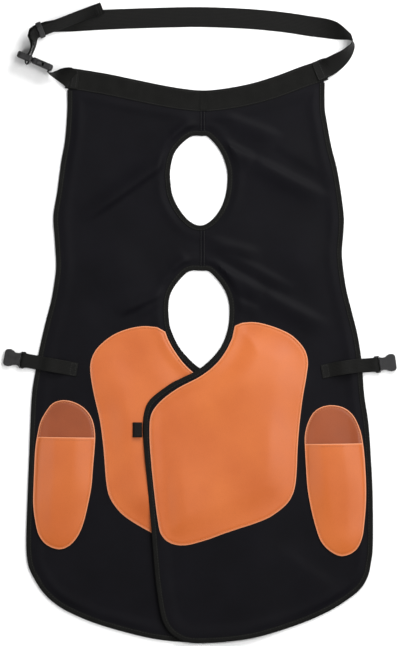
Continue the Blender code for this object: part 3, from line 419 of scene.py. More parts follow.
# Waist belt, along its lower edge: across, down, lean in degrees, height in shares of its thickness
BELT = (
    (0.686, 0.0252, 0, 4.1),
    (0.724, 0.0205, 0, 4.1),
    (0.776, 0.0122, 22, 2.8),
    (0.822, 0.0009, 35, 1.5),
    (0.858, -0.0113, 47, 0.8),
    (0.881, -0.0243, 61, 0.4),
    (0.890, -0.0356, 71, 0.3),
    (0.885, -0.0420, 80, 0.3),
    (0.876, -0.0455, 90, 0.3),
    (0.859, -0.0474, 105, 0.3),
    (0.833, -0.0474, 122, 0.35),
    (0.793, -0.0476, 142, 0.45),
    (0.741, -0.0493, 158, 0.55),
    (0.684, -0.0514, 170, 0.6),
    (0.621, -0.0538, 176, 0.62),
    (0.529, -0.0582, 180, 0.65),
    (0.417, -0.0625, 180, 0.65),
    (0.282, -0.0660, 180, 0.65),
    (0.141, -0.0682, 180, 0.65),
    (0.000, -0.0693, 180, 0.65),
    (-0.141, -0.0689, 180, 0.65),
    (-0.282, -0.0677, 180, 0.65),
    (-0.411, -0.0665, 180, 0.65),
    (-0.506, -0.0653, 178, 0.65),
    (-0.575, -0.0644, 175, 0.65),
    (-0.632, -0.0634, 169, 0.65),
    (-0.690, -0.0623, 157, 0.65),
    (-0.747, -0.0614, 142, 0.8),
    (-0.799, -0.0610, 130, 1.2),
    (-0.839, -0.0608, 124, 1.7),
    (-0.878, -0.0603, 120, 2.2),
    (-0.8966, -0.05835, 120, 2.25),
    (-0.9086, -0.0570, 120, 2.25),
    (-0.9203, -0.0556, 120, 2.25),
    (-0.9330, -0.0542, 120, 2.25),
    (-0.9465, -0.0524, 117, 2.3),
    (-0.9555, -0.0487, 108, 2.4),
    (-0.9575, -0.0440, 100, 2.5),
    (-0.967, -0.0340, 92, 2.5),
    (-0.980, -0.0245, 90, 2.6),
    (-0.9891, -0.0207, 90, 2.6),
    (-0.9960, -0.0158, 90, 2.6),
    (-1.0029, -0.0108, 90, 2.6),
    (-1.0030, -0.0068, 90, 2.6),
    (-0.9985, -0.0042, 90, 2.6),
    (-0.9905, -0.0050, 90, 2.6),
    (-0.9848, -0.0083, 90, 2.6),
    (-0.9779, -0.0133, 90, 2.6),
    (-0.9710, -0.0183, 90, 2.6),
    (-0.9630, -0.0235, 90, 2.6),
    (-0.9480, -0.0340, 87, 2.5),
    (-0.9400, -0.0420, 80, 2.7),
    (-0.9375, -0.0460, 71, 3.0),
    (-0.9330, -0.0494, 63, 3.4),
    (-0.9243, -0.0513, 60, 3.47),
    (-0.9163, -0.0523, 60, 3.47),
    (-0.9043, -0.0536, 60, 3.47),
    (-0.8920, -0.0550, 60, 3.47),
    (-0.8620, -0.0583, 60, 4.6),
    (-0.7990, -0.0653, 60, 7.6),
    (-0.7470, -0.0712, 60, 9.2),
    (-0.6900, -0.0780, 60, 8.8),
    (-0.6320, -0.0847, 60, 7.0),
    (-0.5520, -0.0941, 60, 4.8),
)
# Short webbing from the waistband's left end into the buckle
TAB = (
    (-0.706, 0.0392, 180, 4.1),
    (-0.762, 0.0365, 180, 4.1),
    (-0.793, 0.0295, 164, 3.8),
    (-0.829, 0.0215, 132, 3.2),
    (-0.857, 0.0150, 99, 2.8),
    (-0.8725, 0.0093, 88, 2.6),
    (-0.8709, 0.0060, 90, 2.6),
    (-0.8637, 0.0014, 90, 2.6),
    (-0.8604, -0.0009, 90, 2.6),
)
# Leg straps along their middle: across, down, height in shares of the strap's thickness
LEFT_STRAP = (
    (-0.706, 0.5255, 2.0),
    (-0.735, 0.5240, 2.1),
    (-0.775, 0.5215, 5.2),
    (-0.822, 0.5190, 9.4),
    (-0.868, 0.5165, 9.4),
    (-0.912, 0.5142, 4.8),
    (-0.945, 0.5125, 3.62),
    (-0.975, 0.5108, 4.2),
    (-1.000, 0.5094, 5.7),
    (-1.017, 0.5086, 5.8),
    (-1.0275, 0.5081, 4.6),
    (-1.0290, 0.5080, 2.6),
)
RIGHT_STRAP = (
    (0.700, 0.5292, 2.0),
    (0.730, 0.5272, 2.1),
    (0.772, 0.5246, 5.2),
    (0.818, 0.5222, 9.4),
    (0.862, 0.5200, 9.4),
    (0.905, 0.5186, 4.8),
    (0.940, 0.5180, 3.62),
    (0.972, 0.5174, 4.2),
    (1.000, 0.5167, 5.7),
    (1.017, 0.5162, 5.8),
    (1.0275, 0.5159, 4.6),
    (1.0290, 0.5158, 2.6),
)
# The keeper, a folded loop on the crossing edge
KEEPER_ACROSS = (-0.3325, -0.385)
KEEPER_DOWN = 0.6295
KEEPER_WIDTH = 0.0240
KEEPER_HEIGHT = 0.0072
KEEPER_THICK = 0.0014
# Shape of a drag fold: its steep side and its soft side
CREST_STEEP = 2.2
CREST_SOFT = 0.8
# Long faint ripples in the cloth: waves a metre along x and y, phase, height in metres
RIPPLES = (
    (38.0, -21.0, 2.2, 0.00090),
    (-17.0, 35.0, 0.7, 0.00080),
    (61.0, 23.0, 0.4, 0.00035),
    (17.0, -71.0, 4.1, 0.00025),
    (113.0, 67.0, 2.7, 0.00012),
    (-97.0, 131.0, 0.9, 0.00010),
)
# Slow swells of the knee patches, in the same terms
LEATHER_SWELLS = (
    (21.0, 13.0, 1.1, 0.0030),
    (-16.0, 33.0, 4.4, 0.0022),
    (43.0, -27.0, 2.3, 0.0010),
)
# Section of a felled seam: across, height over the cloth, in metres
SEAM_SECTION = (
    (-0.0044, -0.0004),
    (-0.0042, 0.0006),
    (-0.0034, 0.0011),
    (-0.0022, 0.0011),
    (-0.0010, 0.0008),
    (-0.0002, 0.0002),
    (0.0004, 0.0008),
    (0.0018, 0.0010),
    (0.0034, 0.0008),
    (0.0042, 0.0004),
    (0.0044, -0.0004),
)
SEAM_STITCH_X = (-0.0028, 0.0026)  # the two stitch rows beside the seam

# Looks
CLOTH_DARK = (0.0020, 0.0018, 0.0030)
CLOTH_LIGHT = (0.0033, 0.0030, 0.0048)
TAPE_DARK = (0.0040, 0.0040, 0.0037)
TAPE_LIGHT = (0.0100, 0.0100, 0.0092)
WEB_DARK = (0.0030, 0.0030, 0.0028)
WEB_LIGHT = (0.0090, 0.0090, 0.0084)
LEATHER_DARK = (0.428, 0.090, 0.0120)
LEATHER_LIGHT = (0.490, 0.117, 0.0185)
# Painted highlight: the pale colour laid along the leather's cut rim and its rounded sides
LEATHER_RIM_HIGHLIGHT = (0.600, 0.225, 0.105)
# Pocket backs: a darker copy of the leather, painted shade where the pocket fronts overhang them
POCKET_SHADE_DARK = (0.190, 0.034, 0.0030)
POCKET_SHADE_LIGHT = (0.255, 0.048, 0.0045)
PLASTIC_DARK = (0.008, 0.0078, 0.0083)
PLASTIC_LIGHT = (0.016, 0.0156, 0.0167)
THREAD_DARK = (0.010, 0.010, 0.0095)
THREAD_LIGHT = (0.026, 0.026, 0.024)
TAN_DARK = (0.30, 0.085, 0.022)
TAN_LIGHT = (0.52, 0.19, 0.07)
PLASTIC_NODES = (
    "belt_slider",
    "waist_buckle_female",
    "waist_buckle_male",
    "left_leg_buckle",
    "right_leg_buckle",
)
# Lights: name, place, aim, size, watts
LIGHTS = (
    ("key", (0.85, 1.55, 1.60), (0.0, 0.0, 0.0), (1.1, 1.1), 49.0),
    ("right", (1.65, -0.25, 1.90), (0.1, -0.1, 0.0), (0.5, 1.6), 19.0),
    ("left", (-1.45, -0.20, 1.90), (-0.1, -0.1, 0.0), (0.5, 1.6), 17.0),
    ("top", (1.05, 0.55, 3.00), (0.1, 0.0, 0.0), (1.0, 1.0), 32.0),
)
WORLD_STRENGTH = 0.27
FLOOR_HALF = 6.0
PIXEL = 0.0016  # metres to a pixel of the photograph at the floor
PHOTO_HEIGHT = 646  # pixels
SENSOR = 36.0  # millimetres
LENS = 400.0


def at(across, down):
    """Plan position of a point given in shares."""
    return Vector((across * HALF_WIDTH, WAIST_Y - down * APRON_LENGTH))


def between(p, q, r, s, t):
    """Value of a smooth line at the share t of its way from q to r, where p comes before and s after."""
    square = 2 * p - 5 * q + 4 * r - s
    cube = 3 * q - p - 3 * r + s
    return 0.5 * (2 * q + (r - p) * t + square * t * t + cube * t * t * t)


def curve_through(points, closed, step):
    """Points of a smooth line through these, about one step apart; each holds as many numbers as theirs."""
    count = len(points)
    rows = [list(p) for p in points]
    out = []
    spans = count if closed else count - 1
    for i in range(spans):
        if closed:
            a, b, c, d = rows[i - 1], rows[i], rows[(i + 1) % count], rows[(i + 2) % count]
        else:
            b = rows[i]
            c = rows[i + 1]
            a = rows[i - 1] if i else [2 * p - q for p, q in zip(b, c)]
            d = rows[i + 2] if i + 2 < count else [2 * q - p for p, q in zip(b, c)]
        length = math.hypot(c[0] - b[0], c[1] - b[1])
        pieces = max(1, round(length / step))
        for k in range(pieces):
            t = k / pieces
            out.append([between(p, q, r, s, t) for p, q, r, s in zip(a, b, c, d)])
    if not closed:
        out.append(rows[-1])
    return out


def left_normals(path, closed):
    """Unit normal to the left of the line at each of its points."""
    out = []
    count = len(path)
    for i, here in enumerate(path):
        before = path[i - 1] if i or closed else here
        after = path[(i + 1) % count] if i + 1 < count or closed else here
        into = here - before
        away = after - here
        if into.length:
            into.normalize()
        if away.length:
            away.normalize()
        tangent = (into + away).normalized()
        normal = Vector((-tangent.y, tangent.x))
        straight = into if into.length else away
        turn = max(0.5, normal.dot(Vector((-straight.y, straight.x))))
        out.append(normal / turn)
    return out


def shifted(path, distance, closed):
    """The line moved to its left."""
    return [p + n * distance for p, n in zip(path, left_normals(path, closed))]


def opening(half, height, top, table):
    """Points of one side of an opening, top to bottom."""
    start = WAIST_Y - top * APRON_LENGTH
    return [Vector((OPENING_SHIFT + a * half, start - d * height)) for a, d in table]


def smooth(points, closed=False, step=0.0065):
    """A smooth plan line through these points."""
    return [Vector((p[0], p[1])) for p in curve_through(points, closed, step)]


def crossings(line, x):
    """Heights at which a closed line crosses this x, lowest first."""
    found = []
    for i, b in enumerate(line):
        a = line[i - 1]
        if (a.x - x) * (b.x - x) <= 0 and a.x != b.x:
            found.append(a.y + (b.y - a.y) * (x - a.x) / (b.x - a.x))
    return sorted(found)


def seam_heights(high, low):
    """Rows of points along the seam, shared by both panels and the strip over it."""
    return [high + (low - high) * k / 4 for k in range(5)]


# Lines that several pieces share
BAND_LINE = smooth([at(*row) for row in BAND_TOP], step=0.0020)
OVAL_L = opening(OVAL_HALF, OVAL_HEIGHT, OVAL_TOP, OVAL_LEFT)
OVAL_R = opening(OVAL_HALF, OVAL_HEIGHT, OVAL_TOP, OVAL_RIGHT)
DROP_L = opening(DROP_HALF, DROP_HEIGHT, DROP_TOP, DROP_LEFT)
DROP_R = opening(DROP_HALF, DROP_HEIGHT, DROP_TOP, DROP_RIGHT)
OVAL_CROWN = OVAL_L[0].y + OPENING_RISE
DROP_CROWN = DROP_L[0].y + OPENING_RISE
OVAL_FOOT = OVAL_L[0].y - OVAL_HEIGHT
BAND_FOOT = min(p.y for p in BAND_LINE) - BAND_DEPTH
OVAL_LINE = smooth(
    [Vector((SEAM_X, OVAL_CROWN))]
    + OVAL_L
    + [Vector((SEAM_X - 0.004, OVAL_FOOT))]
    + OVAL_R[::-1],
    closed=True,
    step=0.005,
)
INNER_R = [at(*row) for row in INNER_EDGE]
INNER_L = [Vector((-p.x, p.y)) for p in INNER_R]
SEAM_GAP = 0.5 * CLEAR
LEFT_LINE = smooth(
    [at(*row) for row in LEFT_SIDE] + INNER_L + DROP_L[::-1] + [Vector((SEAM_X - SEAM_GAP, DROP_CROWN))]
)
RIGHT_LINE = smooth(
    [at(*row) for row in RIGHT_SIDE] + INNER_R + DROP_R[::-1] + [Vector((SEAM_X + SEAM_GAP, DROP_CROWN))]
)
LINES = {"left": LEFT_LINE, "right": RIGHT_LINE}
INSET = BIND_WALL + CLEAR
CROSSING = smooth(INNER_R, step=0.010) + smooth(INNER_L, step=0.010)[::-1]
EDGE_LIFT = BIND_WALL + CLEAR + SHEET_GAP
BAND_LIFT = BAND_WALL + CLEAR + SHEET_GAP
UPPER_SEAM = seam_heights(BAND_FOOT - 0.0008, OVAL_CROWN + BIND_DEPTH + 0.0009)
LOWER_SEAM = seam_heights(OVAL_FOOT - BIND_DEPTH - 0.0009, DROP_CROWN + BIND_DEPTH + 0.0009)
PATCH_LINES = {
    "left": [at(*LEFT_PATCH[0])] + smooth([at(*row) for row in LEFT_PATCH[1:]], step=0.005),
    "right": [at(*RIGHT_PATCH[0])] + smooth([at(*row) for row in RIGHT_PATCH[1:]], step=0.005),
}
POCKET_LINES = {
    "left": smooth([at(*row) for row in LEFT_POCKET], closed=True),
    "right": smooth([at(*row) for row in RIGHT_POCKET], closed=True),
}


def panel_outline(line, oval_in, seam_x, left):
    """Closed outline of one leg panel, inside its binding and the waistband."""
    edge = shifted(line, INSET, False) if left else shifted(line, -INSET, False)
    top = shifted(BAND_LINE, -(BAND_WALL + CLEAR), False)
    sign = 1.0 if left else -1.0
    side = sorted((p for p in oval_in if sign * (seam_x - p.x) > 0.002), key=lambda p: p.y)
    oval_low, oval_top = crossings(oval_in, seam_x)[0], crossings(oval_in, seam_x)[-1]
    edge[-1] = Vector((seam_x, edge[-1].y))
    upper = [p for p in top if sign * (seam_x - p.x) > 0.012]
    if not left:
        upper = upper[::-1]
    upper[0] = Vector((edge[0].x, upper[0].y))
    seam_top = min(p.y for p in top) - 0.0002
    lower_rows = [y for y in LOWER_SEAM[::-1] if edge[-1].y + 0.004 < y < oval_low - 0.004]
    upper_rows = [y for y in UPPER_SEAM[::-1] if oval_top + 0.004 < y < seam_top - 0.004]
    lower = [Vector((seam_x, y)) for y in lower_rows + [oval_low]]
    higher = [Vector((seam_x, y)) for y in [oval_top] + upper_rows + [seam_top]]
    return edge + lower + side + higher + upper[::-1]


def grid_of(points):
    """Rows of x and y."""
    return np.array([[p[0], p[1]] for p in points], float)


def eased(value):
    """Smooth step from 0 to 1."""
    value = np.clip(value, 0.0, 1.0)
    return value * value * (3.0 - 2.0 * value)


def come_in(distance, span):
    """0 up to the span's start, and from there a smooth step to 1."""
    start, length = span
    return eased((distance - start) / length)


def near(points, line, closed=False):
    """Distance of each point from a broken line."""
    a = grid_of(line)
    b = np.roll(a, -1, axis=0)
    if not closed:
        a, b = a[:-1], b[:-1]
    best = np.full(len(points), 10.0)
    for p, q in zip(a, b):
        side = q - p
        t = np.clip(((points - p) @ side) / max(side @ side, 1e-12), 0.0, 1.0)
        gap = points - p - t[:, None] * side
        best = np.minimum(best, np.hypot(gap[:, 0], gap[:, 1]))
    return best


def within(points, outline):
    """Which of the points are inside a closed outline."""
    line = grid_of(outline)
    hit = np.zeros(len(points), bool)
    for a, b in zip(np.roll(line, 1, axis=0), line):
        crosses = (a[1] > points[:, 1]) != (b[1] > points[:, 1])
        if a[1] != b[1]:
            x = (b[0] - a[0]) * (points[:, 1] - a[1]) / (b[1] - a[1]) + a[0]
            hit ^= crosses & (points[:, 0] < x)
    return hit


# Heights of the cloth
def drag_folds(p):
    """Drag folds from the openings, soft swells and faint ripples."""
    total = np.zeros(len(p))
    for a0, d0, a1, d1, height, breadth in FOLDS + FINE_FOLDS:
        start = np.array(at(a0, d0))
        side = np.array(at(a1, d1)) - start
        t = ((p - start) @ side) / (side @ side)
        off = ((p - start) @ np.array((-side[1], side[0]))) / math.hypot(*side)
        off = off / (breadth * PANEL_THICK)
        off = np.where(off > 0, off * CREST_STEEP, off * CREST_SOFT)
        ends = eased((t + 0.25) / 0.5) * eased((1.25 - t) / 0.5)
        total = np.maximum(total, height * PANEL_THICK * np.exp(-off * off) * ends)
    for across, down, height, breadth in SWELLS:
        gap = p - np.array(at(across, down))
        share = 1.0 - np.hypot(gap[:, 0], gap[:, 1]) / (breadth * PANEL_THICK)
        total += height * PANEL_THICK * eased(share)
    return total + waves(p, RIPPLES)


def waves(p, table):
    """Sum of plane waves, each lifted so that it never dips below 0."""
    total = np.zeros(len(p))
    for kx, ky, phase, size in table:
        total += size * (1.0 + np.sin(kx * p[:, 0] + ky * p[:, 1] + phase)) * 0.5
    return total


def over_share(p):
    """1 where the legs lap, falling to 0 away from there."""
    inner = within(p, CROSSING)
    away = near(p, CROSSING, True)
    return np.where(inner, 1.0, 1.0 - come_in(away, OVERLAP_EASE))


def bottom_of(p, side):
    """Underside of a leg panel."""
    rim = np.minimum(near(p, LINES[side]), near(p, OVAL_LINE, True))
    below_band = near(p, BAND_LINE) - BAND_DEPTH
    edge = 1.0 - come_in(rim, EDGE_EASE)
    band = 1.0 - come_in(below_band, BAND_EASE)
    over = over_share(p)
    free = come_in(rim, FOLD_RIM) * come_in(below_band, FOLD_BAND) * (1.0 - over)
    lift = OVERLAP_LIFT * over if side == "right" else 0.0
    return np.maximum(EDGE_LIFT * edge, BAND_LIFT * band) + drag_folds(p) * free + lift


def either_bottom(p):
    """Underside of the cloth where the two legs join."""
    return np.where(p[:, 0] < SEAM_X, bottom_of(p, "left"), bottom_of(p, "right"))


# Building pieces
def piece(name, verts, faces, surface, nodes, uv, rim=None, sharp=40.0):
    """One object that rides on the apron and, where nodes are given, stands for those solids."""
    mesh = bpy.data.meshes.new(name)
    mesh.from_pydata([tuple(v) for v in verts], [], faces)
    layer = mesh.uv_layers.new(name="UVMap")
    index = np.zeros(len(mesh.loops), int)
    mesh.loops.foreach_get("vertex_index", index)
    layer.data.foreach_set("uv", np.asarray(uv, np.float32)[index].ravel())
    if rim is not None:
        values = mesh.attributes.new("rim", "FLOAT", "POINT").data
        values.foreach_set("value", np.asarray(rim, np.float32))
    work = bmesh.new()
    work.from_mesh(mesh)
    bmesh.ops.recalc_face_normals(work, faces=work.faces)
    work.to_mesh(mesh)
    work.free()
    mesh.shade_smooth()
    mesh.set_sharp_from_angle(angle=math.radians(sharp))
    mesh.materials.append(surface)
    obj = bpy.data.objects.new(name, mesh)
    bpy.context.scene.collection.objects.link(obj)
    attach(obj, "root")
    if nodes:
        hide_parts(*nodes)
    return obj


def inset(outline, distance):
    """A closed outline moved inwards, whichever way round it runs."""
    points = [Vector((p[0], p[1])) for p in outline]
    area = sum(points[i - 1].cross(points[i]) for i in range(len(points)))
    return shifted(points, distance if area > 0 else -distance, True)


def hex_points(outline, spacing, margin):
    """Evenly packed points that keep this far inside the outline."""
    line = grid_of(outline)
    low, high = line.min(0), line.max(0)
    rise = spacing * math.sqrt(0.75)
    rows = np.arange(math.floor(low[1] / rise), math.ceil(high[1] / rise) + 1)
    columns = np.arange(math.floor(low[0] / spacing) - 1, math.ceil(high[0] / spacing) + 1)
    x = (columns[None, :] + 0.5 * (rows[:, None] % 2)) * spacing
    y = np.repeat(rows[:, None] * rise, len(columns), axis=1)
    spots = np.stack([x.ravel(), y.ravel()], axis=1)
    spots = spots[within(spots, outline)]
    return spots[near(spots, outline, True) > margin]


def sheet_net(outline, spacing, radius, rings):
    """Points and triangles of a flat sheet, denser in rings along its rim."""
    inner = inset(outline, radius)
    points = [Vector(p) for p in inner]
    reach = radius
    for distance in rings:
        row = grid_of(inset(outline, distance))
        row = row[near(row, outline, True) > 0.96 * distance]
        points += [Vector(p) for p in row]
        reach = distance
    points += [Vector(p) for p in hex_points(outline, spacing, reach + 0.6 * spacing)]
    count = len(inner)
    border = [(i, (i + 1) % count) for i in range(count)]
    flat, _, faces, _, _, _ = delaunay_2d_cdt(points, border, [], 1, 1e-7)
    turned = []
    for a, b, c in faces:
        area = (flat[b] - flat[a]).cross(flat[c] - flat[a])
        turned.append((a, b, c) if area > 0 else (a, c, b))
    return grid_of(flat), turned


def soft_sheet(name, outline, spacing, low, thick, surface, nodes, rings=()):
    """A sheet with rounded rims whose underside follows the height function."""
    radius = 0.5 * thick
    spots, turned = sheet_net(outline, spacing, radius, rings)
    sides = {(f[k], f[(k + 1) % 3]) for f in turned for k in range(3)}
    edge = [(a, b) for a, b in sides if (b, a) not in sides]
    outward = np.zeros_like(spots)
    for a, b in edge:
        run = spots[b] - spots[a]
        normal = np.array((run[1], -run[0])) / max(math.hypot(*run), 1e-9)
        outward[a] += normal
        outward[b] += normal
    length = np.hypot(outward[:, 0], outward[:, 1])
    outward /= np.maximum(length, 1e-9)[:, None]
    base = low(spots)
    many = len(spots)
    rim_ids = sorted({a for a, _ in edge})
    place = {v: k for k, v in enumerate(rim_ids)}
    shells = [np.column_stack([spots, base]), np.column_stack([spots, base + thick])]
    for angle in (-50, 0, 50):
        turn = math.radians(angle)
        moved = spots[rim_ids] + outward[rim_ids] * radius * math.cos(turn)
        shells.append(np.column_stack([moved, base[rim_ids] + thick * (0.5 + 0.5 * math.sin(turn))]))
    verts = np.vstack(shells)
    solid = [(a + many, b + many, c + many) for a, b, c in turned]
    solid += [(a, c, b) for a, b, c in turned]
    start = 2 * many
    ring = len(rim_ids)
    for a, b in edge:
        ladder_a = [a] + [start + k * ring + place[a] for k in range(3)] + [a + many]
        ladder_b = [b] + [start + k * ring + place[b] for k in range(3)] + [b + many]
        for k in range(4):
            solid.append((ladder_a[k], ladder_b[k], ladder_b[k + 1], ladder_a[k + 1]))
    depth = near(spots, outline, True)
    rim = np.concatenate([depth, depth, np.zeros(3 * ring)])
    return piece(name, verts, solid, surface, nodes, verts[:, :2], rim)


def swept(name, line, closed, sections, surface, nodes):
    """A closed loop carried along a line, where sections holds each point's (inwards, height) rows."""
    normals = left_normals(line, closed)
    verts = []
    uv = []
    run = 0.0
    for i, (spot, normal) in enumerate(zip(line, normals)):
        if i:
            run += (spot - line[i - 1]).length
        for inwards, height in sections[i]:
            spot_in = spot + normal * inwards
            verts.append((spot_in.x, spot_in.y, height))
            uv.append((run, inwards))
    size = len(sections[0])
    count = len(line)
    faces = []
    for i in range(count if closed else count - 1):
        a = size * i
        b = size * ((i + 1) % count)
        for k in range(size):
            m = (k + 1) % size
            faces.append((a + k, a + m, b + m, b + k))
    if not closed:
        faces.append(tuple(range(size)))
        faces.append(tuple(size * (count - 1) + k for k in range(size)))
    return piece(name, verts, faces, surface, nodes, uv, sharp=60.0)


def folded_tape(name, line, closed, depth, wall, low, surface, nodes, pucker, steps=3):
    """Tape folded over the cloth's edge, rounded at the fold and dented along its stitching."""
    normals = left_normals(line, closed)
    edge = np.array([s + n * (wall + CLEAR) for s, n in zip(line, normals)])
    levels = [low(edge)]
    shares = [0.0] + [(k + 1) / steps for k in range(steps)]
    for share in shares[1:]:
        levels.append(low(np.array([s + n * (depth * share) for s, n in zip(line, normals)])))
    run = np.concatenate([[0.0], np.cumsum([(b - a).length for a, b in zip(line, line[1:])])])
    rows = []
    for i in range(len(line)):
        dent = STITCH_DENT * math.sin(run[i] * 2 * math.pi / EDGE_STITCH[2])
        wave = pucker * math.sin(run[i] * 2 * math.pi / 0.031 + 1.3 * math.sin(run[i] * 19.0))
        top = [level[i] + PANEL_THICK for level in levels]
        under = [level[i] for level in levels]
        loop = [
            (depth, top[-1] + 0.0001),
            (depth - 0.0004, top[-1] + 0.85 * wall),
            (depth - TAPE_STITCH_IN, top[-1] + 0.80 * wall + dent),
            (depth - 0.0030, top[-1] + 1.02 * wall),
        ]
        for k in range(steps - 1, 0, -1):
            if shares[k] * depth < depth - 0.0036:
                loop.append((shares[k] * depth, top[k] + wall + wave))
        loop += [
            (0.0016, top[0] + wall),
            (0.0005, top[0] + 0.65 * wall),
            (0.0, 0.5 * (top[0] + under[0])),
            (0.0005, under[0] - 0.65 * wall),
            (0.0016, under[0] - wall),
            (depth - 0.0004, under[-1] - 0.85 * wall),
            (depth, under[-1] - 0.0001),
            (wall + 0.0002, under[0] - 0.0001),
            (wall + 0.0002, top[0] + 0.0001),
        ]
        rows.append(loop)
    return swept(name, line, closed, rows, surface, nodes)


def webbing(name, middles, acrosses, width, thick, surface, nodes=(), columns=12, slot="webbing"):
    """A woven strip with rounded, slightly thicker selvages."""
    shares = np.concatenate([[-1.0, -0.975, -0.93], np.linspace(-0.84, 0.84, columns), [0.93, 0.975, 1.0]])
    out = np.abs(shares)
    swell = 1.0 + 0.10 * np.exp(-(((out - 0.86) / 0.07) ** 2))
    round_off = np.sqrt(np.clip(1.0 - ((out - 0.93).clip(0) / 0.072) ** 2, 0.05, 1.0))
    half = 0.5 * thick * swell * round_off
    verts = []
    uv = []
    run = 0.0
    count = len(middles)
    size = 2 * len(shares)
    for i, (spot, across) in enumerate(zip(middles, acrosses)):
        if i:
            run += (spot - middles[i - 1]).length
        along = middles[min(i + 1, count - 1)] - middles[max(i - 1, 0)]
        normal = along.cross(across).normalized()
        for s, h in zip(shares, half):
            verts.append(spot + across * (0.5 * width * s) + normal * h)
            uv.append((run, 0.5 * width * s))
        for s, h in zip(shares[::-1], half[::-1]):
            verts.append(spot + across * (0.5 * width * s) - normal * h)
            uv.append((run, 0.5 * width * s))
    faces = [tuple(range(size)), tuple(size * (count - 1) + k for k in range(size))]
    for i in range(count - 1):
        for k in range(size):
            m = (k + 1) % size
            faces.append((size * i + k, size * i + m, size * i + size + m, size * i + size + k))
    return piece(name, verts, faces, surface, nodes, uv, sharp=50.0)


def leaning_path(table, step):
    """Middle points of a leaning strip and its direction across at each."""
    rows = [(*at(across, down), lean, height * WEB_THICK) for across, down, lean, height in table]
    rows = curve_through(rows, False, step)
    plan = [Vector((row[0], row[1])) for row in rows]
    middles = []
    acrosses = []
    for (x, y, lean, height), side in zip(rows, left_normals(plan, False)):
        side = side.normalized()
        angle = math.radians(lean)
        across = Vector((side.x * math.cos(angle), side.y * math.cos(angle), math.sin(angle)))
        acrosses.append(across)
        middles.append(Vector((x, y, height)) + across * 0.5 * WEB_WIDTH)
    return middles, acrosses


def even(path, pitch, closed):
    """Points one pitch apart along a path of two or three numbers each."""
    points = np.array([list(p) for p in path], float)
    if closed:
        points = np.vstack([points, points[:1]])
    steps = np.linalg.norm(np.diff(points, axis=0), axis=1)
    run = np.concatenate([[0.0], np.cumsum(steps)])
    count = max(2, int(round(run[-1] / pitch)))
    where = (np.arange(count) + (0.0 if closed else 0.5)) * run[-1] / count
    return np.column_stack([np.interp(where, run, points[:, k]) for k in range(points.shape[1])])


def stitching(name, paths, surface, sizes, lift=None):
    """Threads lying along paths of points in space, or in plan where lift gives the height."""
    length, width, pitch = sizes
    verts = []
    faces = []
    for path, closed in paths:
        spots = even(path, pitch, closed)
        if lift is not None:
            spots = np.column_stack([spots[:, :2], lift(spots[:, :2])])
        ahead = np.roll(spots, -1, axis=0) - np.roll(spots, 1, axis=0)
        if not closed:
            ahead[0] = spots[1] - spots[0]
            ahead[-1] = spots[-1] - spots[-2]
        for spot, run in zip(spots, ahead):
            along = Vector(run).normalized()
            side = along.cross(UP).normalized()
            up = side.cross(along)
            start = len(verts)
            for t, fat, rise in STITCH_RINGS:
                middle = Vector(spot) + along * (0.5 * length * t) + up * (width * rise * 0.6)
                for k in range(6):
                    turn = math.pi * k / 3
                    radius = 0.5 * width * fat
                    level = side * radius * math.cos(turn)
                    verts.append(middle + level + up * radius * 0.8 * math.sin(turn))
            for ring in range(len(STITCH_RINGS) - 1):
                a = start + 6 * ring
                for k in range(6):
                    m = (k + 1) % 6
                    faces.append((a + k, a + m, a + 6 + m, a + 6 + k))
            last = start + 6 * (len(STITCH_RINGS) - 1)
            faces.append(tuple(start + k for k in range(6)))
            faces.append(tuple(last + k for k in range(6)))
    uv = [(v[0], v[1]) for v in verts]
    return piece(name, verts, faces, surface, (), uv, sharp=70.0)


# Materials
def surface_of(name, base, roughness, **sockets):
    """A new material with its tree and its shader."""
    made = bpy.data.materials.new(name)
    made.use_nodes = True
    tree = made.node_tree
    shader = tree.nodes["Principled BSDF"]
    shader.inputs["Base Color"].default_value = (*base, 1.0)
    shader.inputs["Roughness"].default_value = roughness
    for key, value in sockets.items():
        shader.inputs[key.replace("_", " ")].default_value = value
    return made, tree, shader


def uv_metres(tree):
    return tree.nodes.new("ShaderNodeTexCoord").outputs["UV"]


def space_metres(tree):
    return tree.nodes.new("ShaderNodeTexCoord").outputs["Object"]


def noise(tree, where, scale, detail=3.0, roughness=0.55):
    made = tree.nodes.new("ShaderNodeTexNoise")
    made.inputs["Scale"].default_value = scale
    made.inputs["Detail"].default_value = detail
    made.inputs["Roughness"].default_value = roughness
    tree.links.new(where, made.inputs["Vector"])
    return made.outputs["Fac"]


def stripes(tree, where, direction, pitch, distortion=0.0):
    """Bands this far apart, in metres."""
    made = tree.nodes.new("ShaderNodeTexWave")
    made.wave_type = "BANDS"
    made.bands_direction = direction
    made.inputs["Scale"].default_value = math.pi / 10 / pitch
    made.inputs["Distortion"].default_value = distortion
    made.inputs["Detail"].default_value = 1.0
    tree.links.new(where, made.inputs["Vector"])
    return made.outputs["Fac"]


def math_node(tree, kind, first, second):
    made = tree.nodes.new("ShaderNodeMath")
    made.operation = kind
    for socket, value in zip(made.inputs, (first, second)):
        if isinstance(value, (int, float)):
            socket.default_value = value
        else:
            tree.links.new(value, socket)
    return made.outputs[0]


def ramp_of(tree, value, stops):
    """Colours or greys by value: stops are (position, colour or grey)."""
    made = tree.nodes.new("ShaderNodeValToRGB")
    ramp_data = made.color_ramp
    for k, (position, colour) in enumerate(stops):
        element = ramp_data.elements[k] if k < 2 else ramp_data.elements.new(position)
        element.position = position
        element.color = (*colour, 1.0) if isinstance(colour, tuple) else (colour, colour, colour, 1.0)
    tree.links.new(value, made.inputs["Fac"])
    return made.outputs["Color"]


def mixed(tree, share, first, second, kind="MIX"):
    """One colour over another, each a value or a node's output."""
    made = tree.nodes.new("ShaderNodeMix")
    made.data_type = "RGBA"
    made.blend_type = kind
    open_inputs = [s for s in made.inputs if s.enabled]
    for socket, value in zip(open_inputs, (share, first, second)):
        if isinstance(value, (int, float)):
            socket.default_value = value
        elif isinstance(value, tuple):
            socket.default_value = (*value, 1.0)
        else:
            tree.links.new(value, socket)
    return [s for s in made.outputs if s.enabled][0]


